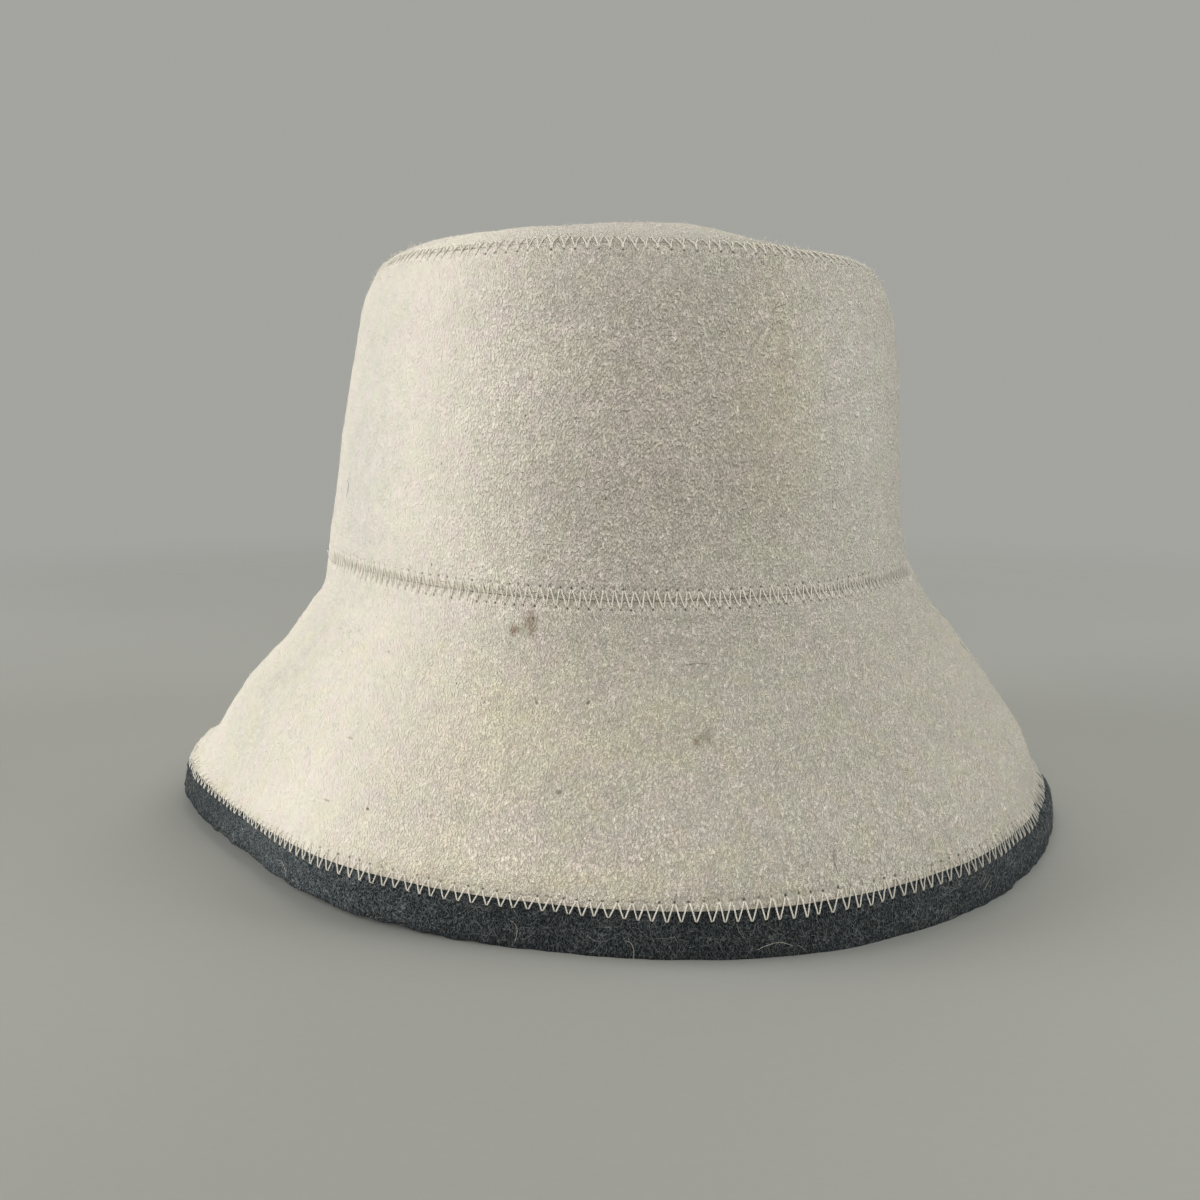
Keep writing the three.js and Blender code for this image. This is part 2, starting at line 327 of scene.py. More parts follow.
def closing_relief(t, f, mid_length):
    df = f - np.round(f)
    d = df * mid_length
    out = -0.45 * np.exp(-((d / 0.55) ** 2)) + 0.14 * np.exp(-((np.abs(d) - 1.5) / 0.9) ** 2)
    return out


# Small creases: name, share round the hat, along (mm), half width as a share, half height (mm), out (mm)
CREASES = (
    ("crease under the seam at front", 0.511, 180.6, 0.043, 1.2, -0.24),
    ("swell over it", 0.508, 178.8, 0.040, 0.9, 0.12),
    ("swell below it", 0.512, 184.0, 0.046, 2.2, 0.22),
    ("crease under the seam at right", 0.640, 181.5, 0.030, 1.6, -0.14),
    ("crease under the seam at left", 0.345, 181.5, 0.030, 1.6, -0.16),
    ("crease under the seam at back", 0.060, 181.0, 0.040, 1.4, -0.18),
    ("crease at back right", 0.880, 182.0, 0.045, 1.6, -0.18),
    ("slack over the brim seam at front", 0.450, 248.5, 0.060, 2.4, -0.16),
    ("slack over the brim seam at right", 0.620, 248.0, 0.050, 2.2, -0.14),
    ("slack over the brim seam at back", 0.150, 248.5, 0.070, 2.4, -0.18),
)


def felt_relief(t, f, th, p, brimness):
    """Everything that stands above or below the smooth outer face, mm."""
    out = 0.17 * lumps(p, 38, 1) * (0.8 + 0.3 * brimness)
    out += 0.085 * lumps(p, 15, 2) * (0.75 + 0.5 * brimness)
    out += (0.055 + 0.030 * brimness) * lumps(p, 6.5, 3)
    out += (0.030 + 0.012 * brimness) * lumps(p, 3.2, 4)
    for key, h in HOLES.items():
        m = np.abs(t - h["along"]) < 7.5
        if m.any():
            out[m] += seam_relief(t[m], f[m], key)
    for _, share, along, wide, high, height in CREASES:
        d = (f - share + 0.5) % 1.0 - 0.5
        out += height * np.exp(-((d / wide) ** 4) - ((t - along) / high) ** 2)
    length = np.interp(t, (0, 83.5, 175, 254), (1, RINGS["crown"][1], RINGS["middle"][1], RINGS["edge"][1]))
    m = (t > 84.0)
    out[m] += closing_relief(t[m], f[m], length[m])
    return out


# ---------------------------------------------------------------- felt pieces
EDGE_R = 0.14  # how far a cut edge is rounded at a sewn joint, mm
HEM_R = 0.6    # and at the free hem
GAP = 0.03     # what is left open at a butted joint, where the felt is pressed together


def spread_rows(a, b, spacing):
    n = max(1, int(round((b - a) / spacing)))
    return list(np.linspace(a, b, n + 1))


def profile(top, bottom, n_main, k_top, k_bot, spacing, fine=0.38, band=3.9, disc=False, hem=False):
    """Rows of one felt piece as (along, depth, columns, face): down the outer face, round the
    lower cut edge and up the inner face, and round the upper cut edge if it has one."""
    a = 0.0 if disc else top + GAP / 2
    b = bottom if hem else bottom - GAP / 2
    r = HEM_R if hem else EDGE_R
    nt, nb = n_main * k_top, n_main * k_bot
    round_off = lambda rr, deg: (rr * (1 - math.sin(math.radians(deg))), rr * (1 - math.cos(math.radians(deg))))

    def fewer(t, least):
        n = n_main
        while n % 2 == 0 and n > 24 and 2 * math.pi * t / n < least:
            n //= 2
        return n

    rows = []
    if disc:
        rows += [(t, 0.0, fewer(t, spacing * 0.55), "outer") for t in spread_rows(0, b - band - 0.9, spacing)[1:]]
    else:
        rows += [(a + x, d, nt, "outer") for x, d in (round_off(EDGE_R, deg) for deg in (78, 45, 15))]
        rows += [(t, 0.0, nt, "outer") for t in spread_rows(a + EDGE_R, a + band, fine)]
        rows += [(t, 0.0, n_main, "outer") for t in spread_rows(a + band + 0.8, b - (0.8 if hem else band) - 0.8, spacing)]
    rows += [(t, 0.0, nb, "outer") for t in spread_rows(b - (r + 0.4 if hem else band), b - r, fine)]
    rows += [(b - x, d, nb, "outer") for x, d in (round_off(r, deg) for deg in ((8, 26, 46, 68, 84) if hem else (15, 45, 78)))]
    rows += [(b, r + 0.2, n_main, "edge"), (b, FELT / 2, n_main, "edge"), (b, FELT - r - 0.15, n_main, "edge")]
    rows += [(b - x, FELT - d, n_main, "inner") for x, d in (round_off(r, deg) for deg in (60, 20))]
    rows += [(b - x, FELT, n_main, "inner") for x in (r + 0.3, r + 1.0, 2.2, 3.2, 4.6)]
    if disc:
        rows += [(t, FELT, fewer(t, spacing * 0.9), "inner") for t in reversed(spread_rows(0, b - 6.6, spacing * 2.6)[1:])]
    else:
        if b - a > 18:
            rows += [(t, FELT, n_main, "inner") for t in reversed(spread_rows(a + 6.4, b - 6.4, spacing * 2.6))]
            rows += [(a + x, FELT, n_main, "inner") for x in (4.6, 3.2, 2.2, 1.4, 0.7)]
        else:
            rows += [(a + x, FELT, n_main, "inner") for x in (5.4, 4.0, 2.6, 1.4, 0.7)]
        rows += [(a + x, FELT - d, n_main, "inner") for x, d in (round_off(EDGE_R, deg) for deg in (20, 60))]
        rows += [(a, FELT - EDGE_R - 0.1, n_main, "edge"), (a, EDGE_R + 0.1, n_main, "edge")]
    return rows


def weave(rows, closed_loop, centre_start=None, centre_end=None):
    """Faces between rows of unequal column counts. Returns index arrays of quads and triangles."""
    start = np.cumsum([0] + [r[2] for r in rows])
    quads, tris = [], []
    pairs = [(i, i + 1) for i in range(len(rows) - 1)]
    if closed_loop:
        pairs.append((len(rows) - 1, 0))
    for i, j in pairs:
        n, m = rows[i][2], rows[j][2]
        a0, b0 = start[i], start[j]
        if n == m:
            c = np.arange(n)
            d = (c + 1) % n
            quads.append(np.stack([a0 + c, b0 + c, b0 + d, a0 + d], 1))
            continue
        coarse_first = n < m
        few, many = (n, m) if coarse_first else (m, n)
        f0, m0 = (a0, b0) if coarse_first else (b0, a0)
        k = many // few
        assert few * k == many, (n, m)
        c = np.arange(few)
        d = (c + 1) % few
        half = k // 2
        part = []
        for q in range(k):
            fine_a = m0 + (c * k + q) % many
            fine_b = m0 + (c * k + q + 1) % many
            part.append(np.stack([f0 + (c if q < half else d), fine_a, fine_b], 1))
        part.append(np.stack([f0 + c, m0 + (c * k + half) % many, f0 + d], 1))
        part = np.concatenate(part)
        if not coarse_first:
            part = part[:, ::-1]
        tris.append(part)
    total = start[-1]
    for centre, row, flip in ((centre_start, 0, False), (centre_end, len(rows) - 1, True)):
        if centre is None:
            continue
        n = rows[row][2]
        c = start[row] + np.arange(n)
        d = start[row] + (np.arange(n) + 1) % n
        tri = np.stack([np.full(n, centre), c, d], 1)
        tris.append(tri[:, ::-1] if flip else tri)
    return (np.concatenate(quads) if quads else np.zeros((0, 4), int)), (np.concatenate(tris) if tris else np.zeros((0, 3), int))


def flat_pattern(f, t):
    """Where a place lies on its own flat piece of felt, mm: a disc, then two ring sectors, then a strip."""
    c, m, e = RINGS["crown"][1], RINGS["middle"][1], RINGS["edge"][1]
    a = (f - 0.5) * 2 * math.pi
    u, v = t * np.sin(a), -t * np.cos(a)
    for lo, hi, la, lb, far in ((83.5, 175.0, c, m, 700.0), (175.0, 254.0, m, e, 1500.0)):
        k = (t >= lo) & (t <= hi + 0.001)
        sector = (lb - la) / (hi - lo)
        r = (la + (lb - la) * (t - lo) / (hi - lo)) / sector
        x = (f - 0.5) * sector
        u = np.where(k, r * np.sin(x), u)
        v = np.where(k, -r * np.cos(x) + far + la / sector, v)
    k = t > 254.0
    return np.stack([np.where(k, (f - 0.5) * e, u), np.where(k, 2500.0 - (t - 254.0), v)], -1)


def make_mesh(name, verts, quads, tris, uv=None, values=None, flat=None, smooth=True):
    """A mesh object from numpy arrays in mm. flat is (share, along, z) for coordinates on the flat piece."""
    me = bpy.data.meshes.new(name)
    nq, nt = len(quads), len(tris)
    me.vertices.add(len(verts))
    me.vertices.foreach_set("co", (np.asarray(verts) * MM).astype(np.float32).ravel())
    loops = np.concatenate([quads.ravel(), tris.ravel()]).astype(np.int32)
    me.loops.add(len(loops))
    me.loops.foreach_set("vertex_index", loops)
    me.polygons.add(nq + nt)
    start = np.concatenate([np.arange(nq) * 4, nq * 4 + np.arange(nt) * 3]).astype(np.int32)
    me.polygons.foreach_set("loop_start", start)
    me.polygons.foreach_set("use_smooth", np.full(nq + nt, smooth))
    if uv is not None:
        layer = me.uv_layers.new(name="thread")
        layer.data.foreach_set("uv", uv[loops].astype(np.float32).ravel())
    if flat is not None:
        f, t, z = (np.asarray(x)[loops].astype(float) for x in flat)
        per_face = np.concatenate([np.repeat(np.arange(nq), 4), nq + np.repeat(np.arange(nt), 3)])
        high = np.zeros(nq + nt, bool)
        np.logical_or.at(high, per_face, f > 0.75)
        f = np.where(high[per_face] & (f < 0.25), f + 1.0, f)      # faces across the closing seam carry on past 1
        where = np.concatenate([flat_pattern(f, t), z[:, None]], 1)
        at = me.attributes.new("flat", "FLOAT_VECTOR", "CORNER")
        at.data.foreach_set("vector", where.astype(np.float32).ravel())
        stitch = np.zeros((len(f), 3))
        which = nearest_seam(t)
        for i, key in enumerate(SEAMS):
            m = which == i
            stitch[m] = np.stack(stitch_place(key, f[m], t[m]), 1)
        at = me.attributes.new("stitch", "FLOAT_VECTOR", "CORNER")
        at.data.foreach_set("vector", stitch.astype(np.float32).ravel())
        at = me.attributes.new("place", "FLOAT_VECTOR", "CORNER")
        at.data.foreach_set("vector", np.stack([f, t, 0 * f], 1).astype(np.float32).ravel())
    me.update(calc_edges=True)
    for key, val in (values or {}).items():
        at = me.attributes.new(key, "FLOAT", "POINT")
        at.data.foreach_set("value", np.asarray(val, dtype=np.float32))
    me.validate()
    ob = bpy.data.objects.new(name, me)
    bpy.context.scene.collection.objects.link(ob)
    return ob


TRIANGLES = {}


def felt_piece(name, node, rows, disc, brimness, material):
    t = np.concatenate([np.full(r[2], r[0]) for r in rows])
    depth = np.concatenate([np.full(r[2], r[1]) for r in rows])
    face = np.concatenate([np.full(r[2], {"outer": 0, "edge": 1, "inner": 2}[r[3]]) for r in rows])
    x = np.concatenate([np.arange(r[2]) / r[2] for r in rows])
    f = share_of_column(x)
    th = bearing_at(f, t)
    n = normals(t, th)
    base = plain(t, th)
    relief = np.zeros(len(t))
    outer = face == 0
    br = np.clip((t - 175) / 12, 0, 1)
    relief[outer] = felt_relief(t[outer], f[outer], th[outer], base[outer], br[outer])
    inn = face == 2
    relief[inn] = 0.22 * lumps(base[inn], 30, 21) + 0.10 * lumps(base[inn], 9, 22)
    length = np.interp(t, (0, 83.5, 175, 254), (1, RINGS["crown"][1], RINGS["middle"][1], RINGS["edge"][1]))
    back = inn & (t > 84)
    relief[back] -= closing_relief(t[back], f[back], length[back])
    sq = squeeze(t)
    # squeezed on both faces; the share in between keeps the cut edge square
    inward = sq + (depth / FELT) * (FELT - 2 * sq)
    lift = folds(t, th) - inward + np.where(face == 1, 0, relief)
    p = base + n * lift[:, None]
    # a little unevenness in the cut edges
    wander = 0.10 * lumps(base, 9, 31) + 0.05 * lumps(base, 2.6, 32)
    end = np.minimum(np.abs(t - rows_low(rows)), np.abs(t - rows_high(rows)))
    if name.endswith("edge_band"):
        down = plain(t + 0.4, th) - plain(t - 0.4, th)
        down /= np.linalg.norm(down, axis=1, keepdims=True)
        at_hem = np.exp(-(((265.5 - t) / 1.0) ** 2))
        p += down * (wander * 1.6 * at_hem)[:, None]
    p[:, 2] = settle(p[:, 2])
    p += MOVE
    inside = (face == 2).astype(float)
    cut = (face == 1).astype(float)
    rim = np.isclose(t, t.min()) | np.isclose(t, t.max())
    if not disc:
        cut = np.maximum(cut, (rim & (depth > 0.3)).astype(float))
    centre_a = centre_b = None
    if disc:
        up = np.array([[0, 0, 1.0]])
        top = skin(np.array([0.0]), np.array([0.0]), 0.0, up)[0]
        near = relief[: rows[0][2]].mean()
        p = np.vstack([p, top + [0, 0, near], top - [0, 0, FELT]])
        centre_a, centre_b = len(p) - 2, len(p) - 1
        f = np.concatenate([f, [0.5, 0.5]])
        t = np.concatenate([t, [0.0, 0.0]])
        inside, cut = np.concatenate([inside, [0, 1]]), np.concatenate([cut, [0, 0]])
        depth = np.concatenate([depth, [0, FELT]])
    quads, tris = weave(rows, not disc, centre_a, centre_b)
    ob = make_mesh(name, p, quads, tris, None, {"inside": inside, "cut": cut}, flat=(f, t, depth * 10.0))
    ob.data.materials.append(material)
    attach(ob, "root")
    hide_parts(node)
    TRIANGLES[name] = 2 * len(quads) + len(tris)
    return ob


def rows_low(rows):
    return min(r[0] for r in rows)


def rows_high(rows):
    return max(r[0] for r in rows)


# ---------------------------------------------------------------- thread and hair
def tubes(paths, frames, radius, sides, close=True):
    """Closed tubes. paths (K, m, 3), frames (K, m, 3) an outward direction, radius (m,) or (K, m)."""
    K, m, _ = paths.shape
    tang = np.gradient(paths, axis=1)
    tang /= np.linalg.norm(tang, axis=2, keepdims=True) + 1e-12
    side = np.cross(tang, frames)
    side /= np.linalg.norm(side, axis=2, keepdims=True) + 1e-12
    upv = np.cross(side, tang)
    rad = np.broadcast_to(radius, (K, m))
    a = np.arange(sides) / sides * 2 * math.pi
    ring = (np.cos(a)[None, None, :, None] * side[:, :, None, :] + np.sin(a)[None, None, :, None] * upv[:, :, None, :])
    v = paths[:, :, None, :] + ring * rad[:, :, None, None]
    verts = v.reshape(-1, 3)
    base = (np.arange(K) * m * sides)[:, None, None]
    i = np.arange(m - 1)[None, :, None] * sides
    j = np.arange(sides)[None, None, :]
    jn = (j + 1) % sides
    q = np.stack([base + i + j, base + i + jn, base + i + sides + jn, base + i + sides + j], -1).reshape(-1, 4)
    tris = []
    for k in range(1, sides - 1):
        b = base[:, 0, 0]
        tris.append(np.stack([b, b + k + 1, b + k], 1))
        e = b + (m - 1) * sides
        tris.append(np.stack([e, e + k, e + k + 1], 1))
    tris = np.concatenate(tris)
    step = np.linalg.norm(np.diff(paths, axis=1), axis=2)
    run = np.concatenate([np.zeros((K, 1)), np.cumsum(step, axis=1)], axis=1)
    uv = np.stack([np.broadcast_to(run[:, :, None], (K, m, sides)), np.broadcast_to(a / (2 * math.pi), (K, m, sides))], -1).reshape(-1, 2)
    return verts, q, tris, uv


def join(parts):
    verts, quads, tris, uvs, start = [], [], [], [], 0
    for v, q, t, u in parts:
        verts.append(v)
        quads.append(q + start)
        tris.append(t + start)
        uvs.append(np.zeros((len(v), 2)) if u is None else u)
        start += len(v)
    return np.concatenate(verts), np.concatenate(quads), np.concatenate(tris), np.concatenate(uvs)


def add_piece(name, parts, material, values=None):
    v, q, t, u = join(parts)
    ob = make_mesh(name, v, q, t, u, values)
    ob.data.materials.append(material)
    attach(ob, "root")
    TRIANGLES[name] = 2 * len(q) + len(t)
    return ob


def outer_height(t, f, th):
    """How far the finished outer face stands from the plain one, mm."""
    base = plain(t, th)
    return felt_relief(t, f, th, base, np.clip((t - 175) / 12, 0, 1)) - squeeze(t)


THREAD_R = 0.18


def zigzag_round(key, seed, inside=False):
    """The legs of a zigzag round the hat. The thread goes in a little short of the far side of
    each needle hole, and the two legs at a hole lie side by side."""
    h = HOLES[key]
    n, L = h["n"], h["length"]
    r = rng(seed)
    k = np.arange(n)
    up = np.stack([h["up_f"], h["up_t"]], 1)
    lo = np.stack([h["lo_f"], h["lo_t"]], 1)
    nxt = up[(k + 1) % n].copy()
    nxt[-1, 0] += 1.0
    side_up, side_lo = (0.15, 0.08) if key != "crown" else (0.30, 0.15)
    short_up, short_lo = (0.30, 0.32) if key != "edge" else (0.38, 0.22)
    u = np.array([0, 0.04, 0.11, 0.26, 0.42, 0.58, 0.74, 0.89, 0.96, 1.0]) if not inside else np.array([0, 0.12, 0.5, 0.88, 1.0])
    sides = 6 if not inside else 3
    parts = []
    for which, (a, b, sa, sb) in enumerate(((up, lo, side_up, -side_lo), (lo, nxt, side_lo, -side_up))):
        a, b = a.copy(), b.copy()
        a[:, 0] += (sa + r.normal(0, 0.05, n)) / L
        b[:, 0] += (sb + r.normal(0, 0.05, n)) / L
        a[:, 1] += (short_up if which == 0 else -short_lo) + r.normal(0, 0.05, n)
        b[:, 1] += (-short_lo if which == 0 else short_up) + r.normal(0, 0.05, n)
        f = a[:, None, 0] * (1 - u) + b[:, None, 0] * u
        t = a[:, None, 1] * (1 - u) + b[:, None, 1] * u
        if key == "crown" and not inside:
            # round the corner the two legs are drawn together and run down side by side
            low = (b if which == 0 else a)[:, None, 0]
            far = (a if which == 0 else b)[:, None, 0]
            down = u[None] if which == 0 else 1 - u[None]
            pull = np.clip(r.normal(0.66, 0.09, n), 0.45, 0.9)[:, None]
            reach = np.clip(down / pull, 0, 1)
            f = far * (1 - reach) + low * reach
        f = f + (r.normal(0, 0.045, (n, 1)) * np.sin(math.pi * u)[None]) / L
        fm = f % 1.0
        th = bearing_at(fm, t)
        nn = normals(t, th)
        ends = np.minimum(u, 1 - u)
        dive = 0.70 * np.exp(-((ends / 0.030) ** 2))
        if inside:
            lift = -(FELT - squeeze(t)) - THREAD_R * 0.55 + dive[None] * 0.8
            parts.append(tubes(skin(t, th, lift, nn), -nn, THREAD_R * 0.9, sides))
            continue
        rise = outer_height(t, fm, th)
        # taut thread bridges the dips instead of following them
        q = ends > 0.08
        top = np.percentile(rise[:, q], 75, axis=1)[:, None]
        line = rise.copy()
        line[:, q] = np.maximum(rise[:, q], top - 0.10)
        # it also presses into the felt where the felt swells, more at its ends
        lift = line + THREAD_R * (0.95 - 0.35 * np.exp(-((ends / 0.10) ** 2)))[None] - dive[None]
        parts.append(tubes(skin(t, th, lift, nn), nn, THREAD_R * r.uniform(0.92, 1.08, (n, 1)), sides))
    return parts


def zigzag_upright(t0, t1, seed, inside=False):
    """The zigzag over the closing seam at the back, between two heights."""
    r = rng(seed)
    count = int((t1 - t0) / CLOSING["pitch"])
    if count < 1:
        return []
    pitch = (t1 - t0) / (count + 0.5)
    k = np.arange(count)
    ta = t0 + k * pitch + 0.2
    a = np.stack([np.full(count, -CLOSING["half"]), ta], 1)
    b = np.stack([np.full(count, CLOSING["half"]), ta + pitch / 2], 1)
    a += r.normal(0, 0.09, a.shape)
    b += r.normal(0, 0.09, b.shape)
    nxt = np.roll(a, -1, axis=0)
    nxt[-1] = a[-1] + [0, pitch]
    u = np.array([0, 0.05, 0.13, 0.3, 0.5, 0.7, 0.87, 0.95, 1.0])
    parts = []
    for p0, p1 in ((a, b), (b, nxt)):
        d = p0[:, None, 0] * (1 - u) + p1[:, None, 0] * u
        t = p0[:, None, 1] * (1 - u) + p1[:, None, 1] * u
        length = np.interp(t, (0, 83.5, 175, 254), (1, RINGS["crown"][1], RINGS["middle"][1], RINGS["edge"][1]))
        f = (d / length) % 1.0
        th = bearing_at(f, t)
        nn = normals(t, th)
        ends = np.minimum(u, 1 - u)
        dive = 0.75 * np.exp(-((ends / 0.04) ** 2))
        if inside:
            p = skin(t, th, -(FELT - squeeze(t)) - THREAD_R * 0.55 + dive[None] * 0.8, nn)
            parts.append(tubes(p, -nn, THREAD_R * 0.9, 5))
        else:
            rise = outer_height(t, f, th)
            q = ends > 0.1
            rise[:, q] = np.maximum(rise[:, q], np.percentile(rise[:, q], 60, axis=1)[:, None] - 0.12)
            p = skin(t, th, rise + THREAD_R * 0.7 - dive[None], nn)
            parts.append(tubes(p, nn, THREAD_R, 6))
    return parts


def spikes(root, direction, bend, length, radius):
    """Closed three-sided hairs of ten triangles. Arrays of K rows."""
    K = len(root)
    a = np.cross(direction, bend)
    bad = np.linalg.norm(a, axis=1) < 1e-6
    a[bad] = [1, 0, 0]
    a /= np.linalg.norm(a, axis=1, keepdims=True)
    b = np.cross(direction, a)
    L = length[:, None]
    mid = root + direction * L * 0.5 + bend * L * 0.13
    tip = root + direction * L * 0.86 + bend * L * 0.5
    ang = np.arange(3) / 3 * 2 * math.pi
    rings = []
    for centre, rr in ((root, radius), (mid, radius * 0.8)):
        for x in ang:
            rings.append(centre + (a * math.cos(x) + b * math.sin(x)) * rr[:, None])
    v = np.stack(rings + [tip], 1).reshape(-1, 3)
    s = (np.arange(K) * 7)[:, None]
    tri = np.array([[0, 2, 1], [0, 1, 4], [0, 4, 3], [1, 2, 5], [1, 5, 4], [2, 0, 3], [2, 3, 5], [3, 4, 6], [4, 5, 6], [5, 3, 6]])
    tris = (s[:, :, None] + tri[None]).reshape(-1, 3)
    uv = np.zeros((len(v), 2))
    return v, np.zeros((0, 4), int), tris, uv


def fuzz(t0, t1, count, seed, inside=False, length=(0.8, 2.4), lean=(6, 42), radius=(0.022, 0.040)):
    """Loose fibres that stand a little off the felt between two heights."""
    r = rng(seed)
    # even over the area: wider rings get more
    tt = r.uniform(t0, t1, count * 2)
    width = np.interp(tt, (0, 83.5, 175, 254, 266), (2, 503, 609, 880, 885))
    keep = r.uniform(0, width.max(), count * 2) < width
    t = tt[keep][:count]
    K = len(t)
    f = r.uniform(0, 1, K)
    th = bearing_at(f, t)
    n = normals(t, th)
    down = plain(t + 0.4, th) - plain(np.maximum(t - 0.4, 0.01), th)
    down /= np.linalg.norm(down, axis=1, keepdims=True)
    side = np.cross(n, down)
    az = r.uniform(0, 2 * math.pi, K)
    el = np.radians(r.uniform(lean[0], lean[1], K) + 25 * r.uniform(0, 1, K) ** 6)
    flat = down * np.cos(az)[:, None] + side * np.sin(az)[:, None]
    sign = -1.0 if inside else 1.0
    d = flat * np.cos(el)[:, None] + n * sign * np.sin(el)[:, None]
    cross = np.cross(n, flat)
    bend = cross * r.normal(0, 0.8, K)[:, None] - n * sign * r.uniform(0.0, 0.9, K)[:, None] * np.sin(el)[:, None]
    if inside:
        root = skin(t, th, -(FELT - squeeze(t)) + 0.05, n)
    else:
        root = skin(t, th, outer_height(t, f, th) - 0.06, n)
    L = r.uniform(length[0], length[1], K) * r.uniform(0.6, 1.15, K)
    R = r.uniform(radius[0], radius[1], K)
    tip_z = root[:, 2] + d[:, 2] * L * 0.86 + bend[:, 2] * L * 0.5
    ok = (tip_z > 0.15) & (root[:, 2] > 0.1)
    return spikes(root[ok], d[ok], bend[ok], L[ok], R[ok])


def curls(t0, t1, count, seed, length=(2.5, 7.0), radius=0.028, rise=0.12):
    """Curly fibres that lie on the outer face: closed three-sided tubes of seven points."""
    r = rng(seed)
    t = r.uniform(t0, t1, count)
    f = r.uniform(0, 1, count)
    L = r.uniform(length[0], length[1], count)
    ang = r.uniform(0, 2 * math.pi, count)
    turn = r.normal(0, 0.32, count)
    ring = np.interp(t, (0, 83.5, 175, 254, 266), (2, 503, 609, 880, 885))
    pts_f, pts_t = [f], [t]
    for i in range(6):
        ang = ang + turn * L / 6 + r.normal(0, 0.22, count)
        t = t + np.sin(ang) * L / 6
        f = f + np.cos(ang) * L / 6 / ring
        pts_f.append(f)
        pts_t.append(t)
    f, t = np.stack(pts_f, 1), np.stack(pts_t, 1)
    ok = (t.min(1) > t0 - 0.4) & (t.max(1) < t1 + 0.4)
    f, t, L = f[ok], t[ok], L[ok]
    fm = f % 1.0
    th = bearing_at(fm, t)
    nn = normals(t, th)
    u = np.linspace(0, 1, 7)
    lift = outer_height(t, fm, th) + rise * (0.2 + np.abs(np.sin(math.pi * (u[None] * r.uniform(1, 2.4, (len(f), 1)) + r.uniform(0, 1, (len(f), 1)))))) - 0.10 * (np.minimum(u, 1 - u) < 0.01)[None]
    p = skin(t, th, lift, nn)
    fat = radius * np.array([0.35, 0.8, 1.0, 1.0, 1.0, 0.75, 0.3])
    ok = p[:, :, 2].min(1) > 0.15
    v, q, tris, _ = tubes(p[ok], nn[ok], fat[None] * r.uniform(0.7, 1.3, (int(ok.sum()), 1)), 3)
    return v, q, tris, None


def lying_hair(t, th, heading, length, curl, radius, seed, lift=0.06, points=14, up=0.35):
    """One longer hair lying on the outer face, walked along the surface."""
    r = rng(seed)
    pos_t, pos_th, ang = t, th, math.radians(heading)
    step = length / (points - 1)
    ts, ths = [pos_t], [pos_th]
    wob = r.normal(0, 0.25, points)
    for i in range(points - 1):
        ang += curl * step + wob[i] * 0.35
        c = columns(np.array([pos_t]))[0]
        rad = math.hypot(c[2] * math.sin(pos_th), c[3] * math.cos(pos_th))
        pos_t += math.sin(ang) * step
        pos_th += math.cos(ang) * step / max(rad, 20)
        ts.append(pos_t); ths.append(pos_th)
    ts, ths = np.array(ts), np.array(ths)
    f = share_at(ths, ts)
    nn = normals(ts, ths)
    u = np.linspace(0, 1, points)
    arch = up * (np.exp(-(((u - 0.08) / 0.12) ** 2)) + 0.7 * np.exp(-(((u - 0.92) / 0.14) ** 2)))
    p = skin(ts, ths, outer_height(ts, f, ths) + lift + arch, nn)
    taper = radius * (0.35 + 0.65 * np.sin(math.pi * np.clip(u * 0.92 + 0.04, 0, 1)) ** 0.5)
    return tubes(p[None], nn[None], taper[None], 4)


